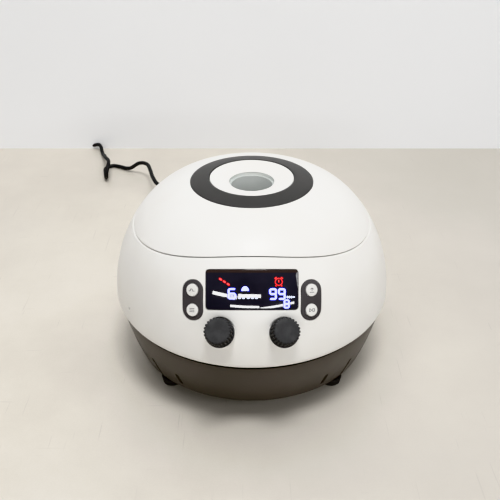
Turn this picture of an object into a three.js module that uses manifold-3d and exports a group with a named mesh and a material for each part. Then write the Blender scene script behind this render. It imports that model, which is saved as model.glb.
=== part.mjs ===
// High-speed microcentrifuge with a hinged dome lid.
// Millimetres, +Z up, +X to the right, the console faces -Y. The origin lies on the rotor axis,
// on the surface that the feet stand on. Angles round the housing start at the front and grow
// towards +X.
import * as THREE from 'three';
import { mergeVertices } from 'three/addons/utils/BufferGeometryUtils.js';
import Module from 'manifold-3d';

const wasm = await Module();
wasm.setup();

// Housing: two half ellipses in plan, a superelliptic dome above the widest section
const bodyHalfWidth = 113.5;
const bodyFrontDepth = 117.3;
const bodyRearDepth = 129.4;
const widestHeight = 65.1;
const domeRise = 95.1;
const domeHeightPower = 1.837;
const domePlanPower = 3.018;
const shellWall = 3;
const housingSeamHeight = 60.3;
const shellHem = 3.5;

// Clearances between pieces
const seatGap = 0.3;
const fitGap = 0.35;
const cutOverrun = 2;
const gasketClearance = 0.9;
const linerTopGap = 0.45;

// Seam between the lid and the housing: level at the sides and rear, raised at the front
const deckHeight = 113;
const seamAboveDeck = 10;
const seamFrontShare = 0.3656;
const lidSeamHeight = deckHeight + seamAboveDeck;
const lidSeamFrontRise = seamFrontShare * (widestHeight + domeRise - lidSeamHeight);
const lidSeamPower = 3;
const lidSeamGap = 1;

// Deck under the lid and the rotor chamber
const deckWall = 3;
const frontDeckDepth = 11.94;
const sideDeckWidth = 20.5;
const mouthRadius = Math.min(
  bodyHalfWidth * domeShare(lidSeamHeight) - sideDeckWidth,
  bodyFrontDepth * domeShare(lidSeamHeight + lidSeamFrontRise) - frontDeckDepth,
);
const chamberInset = 2.2;
const chamberDraft = 3;
const chamberTopRadius = mouthRadius - chamberInset;
const chamberFloorRadius = chamberTopRadius - chamberDraft;
const chamberWall = 1.5;
const chamberDepth = 63;
const chamberFloorHeight = deckHeight - chamberDepth;
const chamberFillet = 8;
const chamberFlangeWidth = 2;
const chamberHubHole = 16;
const gasketWidth = 3.4;
const gasketHeight = 3;

// Lower bowl
const bowlBottomHalfWidth = 97.5;
const bowlBottomFrontDepth = 91.5;
const bowlBottomRearDepth = 106;
const bowlBottomHeight = 6.8;
const bowlTaperPower = 1.35;
const bowlWall = 2.6;
const ventCutReach = 20.8;
const bowlFloor = 3;
const bowlEdgeRadius = 2.4;
const bowlLedgeWidth = 30;
const shadowGapHeight = 1.6;
const shadowGapDepth = 1.6;
const housingSeamGap = 0.6;

// Vent slots low on each side of the bowl, as angle from the front, middle height and length
const ventWidth = 3.4;
const ventAngles = [34, 48.5, 62, 77.5, 93];
const ventMiddles = [22.2, 20.6, 24.8, 20.6, 22.2];
const ventLengths = [13.4, 21, 29, 21, 13.4];

// Rear bay with the supply inlet and the power rocker
const bayHalfWidth = 33;
const bayBottom = 19;
const bayTop = 46;
const bayDepth = 30.4;
const bayPanelDepth = bodyRearDepth - bayDepth;
const bayPanelWall = 2.6;
const bayRim = 2.4;
const jackX = -17;
const rockerX = 14;
const bayMiddle = 32.5;

// Base plate, feet and screws
const plateThickness = 2;
const footX = 65.5;
const footFrontY = 58;
const footRearY = 66;
const footTopRadius = 9;
const footBottomRadius = 8;
const footRecessRadius = 4.6;
const footRecessDepth = 3;
const screwHeadRadius = 3.6;
const screwHeadHeight = 2.4;
const screwShankRadius = 1.9;
const screwEngagement = 3;
const screwHoleRadius = 2.25;

// Motor on its rubber dampers, in the room between the base plate and the chamber's floor
const motorRoomBottom = bowlBottomHeight + bowlFloor + plateThickness;
const motorPlateDrop = 6;
const motorPlateBottom = chamberFloorHeight - motorPlateDrop;
const motorRoom = motorPlateBottom - motorRoomBottom;
const motorShares = { post: 0.441, can: 0.1, shaft: 0.379, parts: 0.34, edge: 0.0625 };
const postRadius = 8;
const postTop = motorRoomBottom + motorShares.post * motorRoom;
const postCircle = 54;
const damperRadius = 9;
const damperWaist = 7;
const motorPlateRadius = 66;
const motorPlateThickness = 3;
const motorRadius = 40;
const motorBottom = motorRoomBottom + motorShares.can * motorRoom;
const motorBossRadius = 11;
const motorBossRise = 3.2;
const shaftRadius = 4;
const shaftBore = 4.35;
const shaftBottom = motorRoomBottom + motorShares.shaft * motorRoom;
const shaftThreadRadius = 3;

// Fixed-angle rotor with its tube pockets, heights above the rotor's underside
const rotorStand = 8;
const rotorSideGap = 1;
const rotorShares = {
  rimBottom: 0.1014, rimTop: 0.2754, underside: 0.8696, crest: 0.6449, crestHeight: 0.6304,
  hub: 0.3116, hubHeight: 0.2971, pocketCircle: 0.5, pocketDepth: 0.529,
};
const rotorBaseHeight = chamberFloorHeight + rotorStand;
const rotorRadius = chamberFloorRadius - rotorSideGap;
const rotorRimBottom = rotorShares.rimBottom * rotorRadius;
const rotorRimTop = rotorShares.rimTop * rotorRadius;
const rotorUndersideRadius = rotorShares.underside * rotorRadius;
const rotorCrestRadius = rotorShares.crest * rotorRadius;
const rotorCrestHeight = rotorShares.crestHeight * rotorRadius;
const rotorHubRadius = rotorShares.hub * rotorRadius;
const rotorHubHeight = rotorShares.hubHeight * rotorRadius;
const rotorFootRadius = 17;
const rotorFootHeight = 3;
const pocketCount = 12;
const pocketRadius = 5.6;
const pocketMouthCircle = rotorShares.pocketCircle * rotorRadius;
const pocketDepth = rotorShares.pocketDepth * rotorRadius;
const pocketTilt = 45;
const pocketTipLength = 3.5;
const rotorNutRadius = 11.5;
const rotorNutHeight = 13;
const rotorNutFlutes = 12;
const rotorNutFluteDepth = 0.8;

// Lid, its dark ring, dished centre and sight glass
const ringOuterRadius = 48.6;
const ringInnerRadius = 33.7;
const lidWall = 3;
const lidLedgeDrop = 1.8;
const lidHoleRadius = 30.4;
const dishRimRadius = 33.3;
const dishLipHeight = 0.2;
const dishEdgeRound = 1.4;
const dishFloorRadius = 20.5;
const dishFall = 3.6;
const neckInnerRadius = 18.2;
const neckOuterRadius = 19.8;
const glassStepRadius = 16.4;
const glassThickness = 2.5;
const glassDrop = 4.2;
const glassStepThickness = 1.6;
const linerWall = 2.2;
const linerRimGap = 1.5;
const linerHoleRadius = 16;

// Rear hinge of the lid
const hingeStandOff = 6.1;
const hingeDrop = 0.6;
const knuckleRadius = 4.4;
const hingePinRadius = 2;
const hingePinHole = 2.35;
const armHalfWidth = 11;
const bracketWidth = 13;
const knuckleGap = 0.5;
const hingeArmLength = 10;
const hingeStrapLength = 19;
const hingeStrapThickness = 3.6;
const hingePinHead = 3.2;
const hingePinHeadLength = 1.6;

// Front latch: a slotted striker under the lid and a bolt driven by a solenoid
const strikerHalfWidth = 7;
const strikerThickness = 1.6;
const strikerBehindMouth = 4.3;
const strikerMiddleY = -mouthRadius - strikerBehindMouth;
const strikerDrop = 21;
const strikerBottom = deckHeight - strikerDrop;
const strikerSlotHalfWidth = 4;
const strikerSlotHeight = 6;
const strikerSlotRise = 3.5;
const strikerPlay = 1;
const boltHalfWidth = 3;
const boltHeight = 4;
const boltProud = 0.4;
const latchFrameHalfWidth = 16;
const latchFrameThickness = 2.5;
const latchEarLength = 6.5;
const latchEarHeight = 3.5;
const latchFrameDrop = 20;
const solenoidHalfWidth = 8.5;
const solenoidHeight = 10;
const solenoidLength = 11.5;
const solenoidBore = 3.2;
const boltTravel = 6;
const boltTail = 4.5;

// Console: display window, button pads and setting knobs
const windowWidth = 65.2;
const windowHeight = 28.4;
const windowCorner = 2.2;
const consoleShares = { window: 0.7564, pads: 0.6026, knobs: 0.3327 };
const consoleRise = lidSeamHeight + lidSeamFrontRise - widestHeight;
const windowMiddleHeight = widestHeight + consoleShares.window * consoleRise;
const windowThickness = 2;
const windowLip = 1.6;
const displayThickness = 2.6;
const displayMargin = 4.4;
const padX = 42.2;
const padMiddleHeight = widestHeight + consoleShares.pads * consoleRise;
const padWidth = 15.8;
const padLength = 28.9;
const padThickness = 1.6;
const padStand = 0.25;
const buttonSpacing = 14.2;
const buttonRadius = 4.45;
const buttonRise = 0.9;
const buttonCap = 1.6;
const buttonStemRadius = 2.4;
const buttonStemLength = 4.4;
const buttonTravel = 0.7;
const buttonBoardWidth = 11;
const buttonBoardLength = 24;
const buttonBoardThickness = 1.2;
const knobX = 22.3;
const knobHeightOnBody = widestHeight + consoleShares.knobs * consoleRise;
const knobTilt = 44;
const knobSplay = 6;
const knobRadius = 9.9;
const knobSkirtRadius = 10.6;
const knobSkirtHeight = 1.8;
const knobHeight = 13;
const knobChamfer = 1;
const knobFlutes = 24;
const knobFluteDepth = 0.55;
const knobBoreDepth = 9;
const seatLift = 2.6;
const seatRadius = 9.6;
const seatRecessRadius = 11.4;
const seatWall = 2.4;
const seatDepth = 5.2;
const encoderSize = 11.6;
const encoderHeight = 6;
const encoderDepth = 10;
const encoderBushRadius = 3.9;
const encoderShaftRadius = 2.9;
const encoderShaftBore = 3.25;
const encoderShaftReach = 8;
const boardThickness = 1.6;
const boardAbove = 14;
const boardBelow = 7;
const boardMargin = 2;

// Emergency lid release hole, low on the left of the shell
const releaseHoleRadius = 1.4;
const releaseHoleAngle = 57;
const releaseHoleHeight = 76;

// Power board on the base plate
const powerBoardWidth = 60;
const powerBoardFromMotor = 13;
const powerBoardFromBay = 20;
const powerBoardFront = motorRadius + powerBoardFromMotor;
const powerBoardRear = bayPanelDepth - powerBoardFromBay;
const powerBoardStand = 6;
const powerBoardPartHeight = motorShares.parts * motorRoom;
// Posts as a share of the board's depth, their inset and the capacitor as shares of a post, and the
// choke's sides as shares of the board's half width
const powerBoardShares = { post: 0.125, inset: 1.5, capacitor: 1.5, chokeLeft: 0.25, chokeRight: 0.625 };

// Supply inlet, plug, lead, coil and adapter
const jackRadius = 5.6;
const jackFlangeRadius = 7;
const jackFlange = 1.2;
const jackLength = 13;
const jackBore = 3.1;
const plugBarrelRadius = 2.7;
const plugBarrelLength = 9;
const plugBodyRadius = 5.4;
const plugBodyLength = 21;
const plugEdge = 0.9;
const plugReliefLength = 12;
const plugReliefRadius = 3.3;
const leadDiameter = 4.8;
const leadSides = 8;
const leadSteps = 80;
const tailSteps = 14;
const coilSides = 6;
const coilStepsPerLoop = 24;
const coilRadius = 52;
const coilPitch = 6.6;
const coilLoopsPerLayer = 1.25;
const coilCenterX = -236;
const coilCenterY = 530;
const coilLift = 5.8;
const adapterLength = 116;
const adapterWidth = 50;
const adapterHeight = 32;
const adapterCorner = 6;
const adapterCenterX = -150;
const adapterReliefLength = 12;
const adapterReliefRadius = 4;
const adapterInletWidth = 20;
const adapterInletHeight = 13;
const adapterInletDepth = 14;
const adapterInletCorner = 3;

// Rocker switch
const rockerWidth = 12.4;
const rockerHeight = 18.4;
const rockerFrameRim = 2;
const rockerFrameFlange = 1.4;
const rockerFrameDepth = 14;
const rockerWellGap = 1.2;
const rockerTilt = 7;
const rockerThickness = 6;
const rockerCrown = 1.6;

// Facet counts
const housingColumns = 40;
const domeRows = 12;
const shellRows = 6;
const bowlRows = 4;
const latheColumns = 32;
const rotorColumns = 36;
const smallColumns = 12;
const hiddenColumns = 8;
const holeColumns = 16;

// Surface finishes
const finishes = {
  whiteShell: { color: 0xecebe8, roughness: 0.38, metalness: 0 },
  darkShell: { color: 0x4a4540, roughness: 0.5, metalness: 0 },
  darkTrim: { color: 0x464442, roughness: 0.45, metalness: 0 },
  pad: { color: 0x4a484a, roughness: 0.5, metalness: 0 },
  buttonWhite: { color: 0xe9e8e6, roughness: 0.45, metalness: 0 },
  rubber: { color: 0x262626, roughness: 0.85, metalness: 0 },
  knobRubber: { color: 0x3a3a3b, roughness: 0.7, metalness: 0 },
  blackGlass: { color: 0x16151a, roughness: 0.08, metalness: 0 },
  clear: { color: 0xdfe4e4, roughness: 0.05, metalness: 0 },
  rotorAluminium: { color: 0x6c6f73, roughness: 0.4, metalness: 0.9 },
  steel: { color: 0xb8babc, roughness: 0.32, metalness: 1 },
  plateSteel: { color: 0x9a9c9e, roughness: 0.45, metalness: 1 },
  board: { color: 0x1f5a34, roughness: 0.6, metalness: 0 },
  blackPlastic: { color: 0x1c1c1d, roughness: 0.5, metalness: 0 },
  leadBlack: { color: 0x161616, roughness: 0.6, metalness: 0 },
};

function finish(name) {
  return new THREE.MeshStandardMaterial(finishes[name]);
}

const radians = THREE.MathUtils.degToRad;
const fullTurn = 2 * Math.PI;

// Meshes to solids and back

function toSolid(geometry) {
  const bare = geometry.index ? geometry.toNonIndexed() : geometry.clone();
  bare.deleteAttribute('normal');
  bare.deleteAttribute('uv');
  const merged = mergeVertices(bare);
  return new wasm.Manifold(new wasm.Mesh({
    numProp: 3,
    vertProperties: merged.attributes.position.array,
    triVerts: Uint32Array.from(merged.index.array),
  }));
}

function toGeometry(solid) {
  const mesh = solid.getMesh();
  const geometry = new THREE.BufferGeometry();
  geometry.setAttribute('position', new THREE.BufferAttribute(Float32Array.from(mesh.vertProperties), 3));
  geometry.setIndex(new THREE.BufferAttribute(Uint32Array.from(mesh.triVerts), 1));
  return geometry;
}

function cut(geometry, ...tools) {
  return toGeometry(tools.reduce((solid, tool) => solid.subtract(toSolid(tool)), toSolid(geometry)));
}

function join(geometry, ...others) {
  return toGeometry(others.reduce((solid, other) => solid.add(toSolid(other)), toSolid(geometry)));
}

function common(geometry, other) {
  return toGeometry(toSolid(geometry).intersect(toSolid(other)));
}

// A surface through rings of equal point counts: closed on itself, or capped at both ends
function loft(rings, closed) {
  const columns = rings[0].length;
  const positions = rings.flat(2);
  const index = [];
  const last = closed ? rings.length : rings.length - 1;
  for (let row = 0; row < last; row += 1) {
    const next = (row + 1) % rings.length;
    for (let column = 0; column < columns; column += 1) {
      const side = (column + 1) % columns;
      const corners = [
        row * columns + column, row * columns + side, next * columns + side, next * columns + column,
      ];
      index.push(corners[0], corners[1], corners[2], corners[0], corners[2], corners[3]);
    }
  }
  if (!closed) {
    [0, rings.length - 1].forEach((row) => {
      const ring = rings[row];
      const middle = [0, 1, 2].map((axis) => ring.reduce((sum, point) => sum + point[axis], 0) / columns);
      const center = positions.length / 3;
      positions.push(...middle);
      for (let column = 0; column < columns; column += 1) {
        const here = row * columns + column;
        const side = row * columns + (column + 1) % columns;
        index.push(...(row === 0 ? [center, side, here] : [center, here, side]));
      }
    });
  }
  const geometry = new THREE.BufferGeometry();
  geometry.setAttribute('position', new THREE.Float32BufferAttribute(positions, 3));
  geometry.setIndex(index);
  return outward(geometry);
}

// Turns a closed surface inside out if its volume comes out negative
function outward(geometry) {
  const place = geometry.attributes.position;
  const order = geometry.index.array;
  const [a, b, c] = [new THREE.Vector3(), new THREE.Vector3(), new THREE.Vector3()];
  let volume = 0;
  for (let at = 0; at < order.length; at += 3) {
    a.fromBufferAttribute(place, order[at]);
    b.fromBufferAttribute(place, order[at + 1]);
    c.fromBufferAttribute(place, order[at + 2]);
    volume += a.dot(b.cross(c));
  }
  if (volume < 0) {
    for (let at = 0; at < order.length; at += 3) {
      [order[at + 1], order[at + 2]] = [order[at + 2], order[at + 1]];
    }
  }
  return geometry;
}

// A solid of revolution about Z from [radius, height] pairs that start and end on the axis,
// or that close on themselves
function revolve(profile, columns = latheColumns) {
  const onAxis = profile[0][0] === 0;
  const points = onAxis ? profile : [...profile, profile[0]];
  const outline = points.map(([radius, height]) => new THREE.Vector2(radius, height));
  const lathe = new THREE.LatheGeometry(outline, columns);
  lathe.rotateX(Math.PI / 2);
  const bare = lathe.toNonIndexed();
  bare.deleteAttribute('normal');
  bare.deleteAttribute('uv');
  const merged = mergeVertices(bare);
  const order = Array.from(merged.index.array);
  const whole = [];
  for (let at = 0; at < order.length; at += 3) {
    const [i, j, k] = order.slice(at, at + 3);
    if (i !== j && j !== k && k !== i) whole.push(i, j, k);
  }
  merged.setIndex(whole);
  return outward(merged);
}

function cylinder(radius, bottom, top, columns = holeColumns) {
  return revolve([[0, bottom], [radius, bottom], [radius, top], [0, top]], columns);
}

function box(left, right, front, rear, bottom, top) {
  const geometry = new THREE.BoxGeometry(right - left, rear - front, top - bottom);
  return geometry.translate((left + right) / 2, (front + rear) / 2, (bottom + top) / 2);
}

function prism(shape, bottom, top, curveSegments = 3) {
  const settings = { depth: top - bottom, bevelEnabled: false, curveSegments };
  const geometry = new THREE.ExtrudeGeometry(shape, settings);
  return geometry.translate(0, 0, bottom);
}

function roundedRectangle(width, height, corner) {
  const [x, y] = [width / 2, height / 2];
  const shape = new THREE.Shape();
  shape.moveTo(-x + corner, -y);
  shape.lineTo(x - corner, -y);
  shape.absarc(x - corner, -y + corner, corner, -Math.PI / 2, 0, false);
  shape.lineTo(x, y - corner);
  shape.absarc(x - corner, y - corner, corner, 0, Math.PI / 2, false);
  shape.lineTo(-x + corner, y);
  shape.absarc(-x + corner, y - corner, corner, Math.PI / 2, Math.PI, false);
  shape.lineTo(-x, -y + corner);
  shape.absarc(-x + corner, -y + corner, corner, Math.PI, -Math.PI / 2, false);
  return shape;
}

function circleShape(radius) {
  return new THREE.Shape().absarc(0, 0, radius, 0, fullTurn, false);
}

// A shape with a wavy round outline, flutes pressed into a disc
function flutedRing(radius, flutes, depth, pointsPerFlute) {
  const count = flutes * pointsPerFlute;
  return Array.from({ length: count }, (_, at) => {
    const angle = (at / count) * fullTurn;
    const wave = (1 - Math.cos(angle * flutes)) / 2;
    return [(radius - depth * wave) * Math.cos(angle), (radius - depth * wave) * Math.sin(angle)];
  });
}

function roundRing(radius, count) {
  return flutedRing(radius, 1, 0, count);
}

function atHeight(ring, height) {
  return ring.map(([x, y]) => [x, y, height]);
}

function axisFrame(point, direction) {
  const z = direction.clone().normalize();
  const x = new THREE.Vector3(0, 0, 1).cross(z).normalize();
  const y = z.clone().cross(x);
  return new THREE.Matrix4().makeBasis(x, y, z).setPosition(point);
}

// A frame whose y axis climbs the surface without leaning to either side
function uprightFrame(point, direction) {
  const z = direction.clone().normalize();
  const y = new THREE.Vector3(0, z.z, -z.y).normalize();
  return new THREE.Matrix4().makeBasis(y.clone().cross(z), y, z).setPosition(point);
}

function placed(geometry, frame) {
  return geometry.clone().applyMatrix4(frame);
}

function named(name, geometry, material) {
  const mesh = new THREE.Mesh(geometry, material);
  mesh.name = name;
  return mesh;
}

// The dome. A point on it has an angle, a share of the widest section, and an inset from the
// outside; the plan turns from egg-shaped at the widest section to round at the lid's ring.

const ringShare = ringOuterRadius / bodyHalfWidth;
const domeFillShare = 0.9996;

function domeShare(height, inset = 0) {
  const rise = Math.max(0, (height - widestHeight) / (domeRise - inset));
  return Math.max(0, 1 - rise ** domeHeightPower) ** (1 / domePlanPower);
}

function domeHeight(share, inset = 0) {
  return widestHeight + (domeRise - inset) * (1 - share ** domePlanPower) ** (1 / domeHeightPower);
}

function planPoint(angle, share, inset, height) {
  const toFront = Math.cos(angle);
  const halfWidth = bodyHalfWidth - inset;
  const depth = (toFront > 0 ? bodyFrontDepth : bodyRearDepth) - inset;
  const turn = THREE.MathUtils.clamp((share - ringShare) / (1 - ringShare), 0, 1);
  const stretch = 1 + (depth / halfWidth - 1) * (1 - (1 - turn) ** 2);
  return [share * halfWidth * Math.sin(angle), -share * halfWidth * stretch * toFront, height];
}

function domePoint(angle, height, inset = 0) {
  return planPoint(angle, domeShare(height, inset), inset, height);
}

function round(point) {
  return Array.from({ length: housingColumns }, (_, column) => point((column / housingColumns) * fullTurn));
}

function circleAt(radius, height) {
  return round((angle) => [radius * Math.sin(angle), -radius * Math.cos(angle), height]);
}

function seamHeight(angle) {
  return lidSeamHeight + lidSeamFrontRise * Math.max(0, Math.cos(angle)) ** lidSeamPower;
}

function steps(count) {
  return Array.from({ length: count }, (_, at) => (at + 1) / count);
}

// How far the shell's hem turns in below the widest section
function hemInset(height) {
  const drop = (widestHeight - height) / (widestHeight - housingSeamHeight);
  return shellHem * (1 - Math.sqrt(Math.max(0, 1 - drop * drop)));
}

// The point of the front of the dome that has the given x and height, and the outward normal there
function consolePoint(x, height) {
  const share = domeShare(height);
  const turn = THREE.MathUtils.clamp((share - ringShare) / (1 - ringShare), 0, 1);
  const stretch = 1 + (bodyFrontDepth / bodyHalfWidth - 1) * (1 - (1 - turn) ** 2);
  const halfWidth = share * bodyHalfWidth;
  return new THREE.Vector3(x, -halfWidth * stretch * Math.sqrt(1 - (x / halfWidth) ** 2), height);
}

function consoleNormal(x, height) {
  const step = shellWall / 10;
  const across = consolePoint(x + step, height).sub(consolePoint(x - step, height));
  const upward = consolePoint(x, height + step).sub(consolePoint(x, height - step));
  return across.cross(upward).normalize();
}

// Everything inside the dome at one inset, from the housing seam to a small flat at the crown
function domeSolid(inset) {
  const rows = steps(domeRows).map((part) => domeHeight(Math.sqrt(1 - part * part * domeFillShare), inset));
  return loft([
    round((angle) => planPoint(angle, 1, inset, housingSeamHeight)),
    ...rows.map((height) => round((angle) => domePoint(angle, height, inset))),
  ], false);
}

// The layer of the dome between two insets
function domeLayer(outerInset, innerInset) {
  return cut(domeSolid(outerInset), domeSolid(innerInset));
}

const windowFrame = axisFrame(consolePoint(0, windowMiddleHeight), consoleNormal(0, windowMiddleHeight));
const windowShape = roundedRectangle(windowWidth, windowHeight, windowCorner);
const padFrames = [-1, 1].map((side) => uprightFrame(
  consolePoint(side * padX, padMiddleHeight),
  consoleNormal(side * padX, padMiddleHeight),
));
const knobDirection = new THREE.Vector3(0, -Math.cos(radians(knobTilt)), Math.sin(radians(knobTilt)));
const knobFrames = [-1, 1].map((side) => axisFrame(
  consolePoint(side * knobX, knobHeightOnBody),
  knobDirection.clone()
    .multiplyScalar(Math.cos(radians(knobSplay)))
    .setX(side * Math.sin(radians(knobSplay))),
));
const consoleReach = shellWall * 4;

function padShape(margin) {
  const width = padWidth + 2 * margin;
  return roundedRectangle(width, padLength + 2 * margin, width / 2 - fitGap);
}

function windowOpening(margin) {
  return roundedRectangle(windowWidth + 2 * margin, windowHeight + 2 * margin, windowCorner + margin);
}

const buttonPlaces = [1, -1].map((row) => row * buttonSpacing / 2);

// Axis of the rear hinge, and the most forward line that the striker's lower edge swings through
// as the lid turns about it
const hingeY = domePoint(Math.PI, lidSeamHeight)[1] + hingeStandOff;
const hingeZ = lidSeamHeight - hingeDrop;
const strikerFrontY = strikerMiddleY - strikerThickness / 2;
const strikerReachY = hingeY - Math.hypot(hingeY - strikerFrontY, hingeZ - strikerBottom);

// Upper shell: outer wall, raised rim of the lid seam, deck and chamber mouth in one moulding

function upperShell() {
  const seamLow = (angle) => seamHeight(angle) - lidSeamGap / 2;
  const seamShare = (angle) => domeShare(seamLow(angle));
  const insideShare = (angle) => seamShare(angle) * bodyHalfWidth / (bodyHalfWidth - shellWall);
  const insideTop = (angle) => domeHeight(insideShare(angle), shellWall);
  const hem = [0, ...steps(2)].map((part) => THREE.MathUtils.lerp(housingSeamHeight, widestHeight, part));
  const rings = [
    ...hem.map((height) => round((angle) => planPoint(angle, 1, hemInset(height), height))),
    ...steps(shellRows).map((part) => round((angle) => (
      domePoint(angle, THREE.MathUtils.lerp(widestHeight, seamLow(angle), part))
    ))),
    round((angle) => planPoint(angle, seamShare(angle), shellWall, seamLow(angle))),
    round((angle) => planPoint(angle, seamShare(angle), shellWall, deckHeight)),
    circleAt(mouthRadius, deckHeight),
    circleAt(mouthRadius, deckHeight - deckWall),
    round((angle) => planPoint(angle, seamShare(angle), 0, deckHeight - deckWall)),
    ...[0, ...steps(3)].slice(0, 3).map((part) => round((angle) => (
      domePoint(angle, THREE.MathUtils.lerp(insideTop(angle), widestHeight, part), shellWall)
    ))),
    ...[...hem].reverse().map((height) => round((angle) => (
      planPoint(angle, 1, shellWall + hemInset(height), height)
    ))),
  ];
  let shell = loft(rings, true);
  shell = cut(shell, common(
    placed(prism(windowOpening(fitGap), -consoleReach, consoleReach), windowFrame),
    domeLayer(-cutOverrun, windowThickness + seatGap),
  ));
  shell = cut(shell, placed(prism(windowOpening(-windowLip), -consoleReach, consoleReach), windowFrame));
  padFrames.forEach((frame) => {
    const padRecess = prism(padShape(fitGap), padStand - padThickness - seatGap, consoleReach);
    shell = cut(shell, placed(padRecess, frame));
    const stemHoles = buttonPlaces.map((rise) => placed(
      cylinder(buttonStemRadius + fitGap, -consoleReach, consoleReach, hiddenColumns).translate(0, rise, 0),
      frame,
    ));
    shell = cut(shell, ...stemHoles);
  });
  knobFrames.forEach((frame) => {
    const cup = common(
      placed(cylinder(seatRecessRadius + seatWall, -seatDepth, seatLift), frame),
      domeSolid(shellWall / 2),
    );
    const collar = placed(cylinder(seatRadius, -seatDepth, seatLift), frame);
    const recess = placed(cylinder(seatRecessRadius, seatLift, consoleReach), frame);
    const through = cylinder(encoderBushRadius + fitGap, -consoleReach, consoleReach, smallColumns);
    const bore = placed(through, frame);
    shell = cut(join(shell, cup, collar), recess, bore);
  });
  return cut(shell, strikerSlot(), releaseHole());
}

// The striker's slot through the deck, with room in the rim for the arc that it leaves by
function strikerSlot() {
  const half = strikerHalfWidth + strikerPlay;
  return box(
    -half, half, strikerReachY - seatGap, strikerMiddleY + strikerThickness / 2 + strikerPlay / 2,
    deckHeight - deckWall - cutOverrun, deckHeight + cutOverrun,
  );
}

function releaseHole() {
  const angle = radians(-releaseHoleAngle);
  const [x, y] = domePoint(angle, releaseHoleHeight);
  const direction = new THREE.Vector3(x, y, 0).normalize();
  const frame = axisFrame(new THREE.Vector3(x, y, releaseHoleHeight), direction);
  return placed(cylinder(releaseHoleRadius, -consoleReach, consoleReach, smallColumns), frame);
}

// Lower bowl with its shadow gap, vent slots and rear bay

function bowlPoint(angle, height, inset) {
  const top = housingSeamHeight - housingSeamGap - shadowGapHeight;
  const fall = THREE.MathUtils.clamp((top - height) / (top - bowlBottomHeight), 0, 1) ** bowlTaperPower;
  const halfWidth = THREE.MathUtils.lerp(bodyHalfWidth - shellHem, bowlBottomHalfWidth, fall) - inset;
  const front = THREE.MathUtils.lerp(bodyFrontDepth - shellHem, bowlBottomFrontDepth, fall) - inset;
  const rear = THREE.MathUtils.lerp(bodyRearDepth - shellHem, bowlBottomRearDepth, fall) - inset;
  const toFront = Math.cos(angle);
  return [halfWidth * Math.sin(angle), -(toFront > 0 ? front : rear) * toFront, height];
}

function bowlRings(inset) {
  const top = housingSeamHeight - housingSeamGap - shadowGapHeight;
  const bottom = bowlBottomHeight + bowlEdgeRadius;
  const fall = bottom - top;
  return [0, ...steps(bowlRows)].map((part) => (
    round((angle) => bowlPoint(angle, top + fall * part, inset))
  ));
}

function bowlSolid(inset) {
  const foot = round((angle) => bowlPoint(angle, bowlBottomHeight, inset + bowlEdgeRadius));
  return loft([...bowlRings(inset), foot], false);
}

function baseBowl() {
  const lipTop = housingSeamHeight - housingSeamGap;
  const lipFoot = lipTop - shadowGapHeight;
  const floorTop = bowlBottomHeight + bowlFloor;
  const inside = bowlRings(bowlWall).slice(1, bowlRows).reverse();
  const wall = loft([
    round((angle) => bowlPoint(angle, lipTop, shadowGapDepth)),
    round((angle) => bowlPoint(angle, lipFoot, shadowGapDepth)),
    ...bowlRings(0),
    round((angle) => bowlPoint(angle, bowlBottomHeight, bowlEdgeRadius)),
    round((angle) => bowlPoint(angle, bowlBottomHeight, bowlLedgeWidth)),
    round((angle) => bowlPoint(angle, floorTop, bowlLedgeWidth)),
    round((angle) => bowlPoint(angle, floorTop, bowlWall + bowlEdgeRadius / 2)),
    ...inside,
    round((angle) => bowlPoint(angle, lipFoot, bowlWall + shadowGapDepth)),
    round((angle) => bowlPoint(angle, lipTop, bowlWall + shadowGapDepth)),
  ], true);
  const bayBlock = common(
    box(
      -bayHalfWidth - bayRim, bayHalfWidth + bayRim, bayPanelDepth - bayPanelWall, bodyRearDepth,
      bayBottom - bayRim, bayTop + bayRim,
    ),
    bowlSolid(0),
  );
  const bayHollow = box(-bayHalfWidth, bayHalfWidth, bayPanelDepth, bodyRearDepth, bayBottom, bayTop);
  const jackHole = cylinder(jackRadius + seatGap, -bayPanelDepth, -bayPanelDepth / 2)
    .rotateX(Math.PI / 2)
    .translate(jackX, 0, bayMiddle);
  const rockerHole = box(
    rockerX - rockerWidth / 2 - rockerFrameRim - seatGap,
    rockerX + rockerWidth / 2 + rockerFrameRim + seatGap,
    bayPanelDepth / 2, bodyRearDepth,
    bayMiddle - rockerHeight / 2 - rockerFrameRim - seatGap,
    bayMiddle + rockerHeight / 2 + rockerFrameRim + seatGap,
  );
  const screwHoles = footPlaces().map(([, x, y]) => (
    cylinder(screwHoleRadius, 0, floorTop + cutOverrun, smallColumns).translate(x, y, 0)
  ));
  return cut(join(wall, bayBlock), bayHollow, jackHole, rockerHole, ...ventCutters(), ...screwHoles);
}

function ventCutters() {
  const reach = ventCutReach / 2;
  return [-1, 1].flatMap((side) => ventAngles.map((degrees, at) => {
    const angle = radians(degrees);
    const [x, y] = bowlPoint(angle, ventMiddles[at], bowlWall / 2);
    const halfLength = ventLengths[at] / 2;
    const slot = box(-ventWidth / 2, ventWidth / 2, -halfLength, halfLength, -reach, reach);
    const middle = new THREE.Vector3(side * x, y, ventMiddles[at]);
    return placed(slot, axisFrame(middle, new THREE.Vector3(side * x, y, 0)));
  }));
}

// Base plate with its three damper posts, the feet and their screws

function footPlaces() {
  return [
    ['front_left', -footX, -footFrontY],
    ['front_right', footX, -footFrontY],
    ['rear_left', -footX, footRearY],
    ['rear_right', footX, footRearY],
  ];
}

function damperPlaces() {
  return [0, 1, 2].map((at) => {
    const angle = (at / 3) * fullTurn;
    return [postCircle * Math.sin(angle), -postCircle * Math.cos(angle)];
  });
}

const plateBottom = bowlBottomHeight + bowlFloor + seatGap;
const plateTop = plateBottom + plateThickness;

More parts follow.
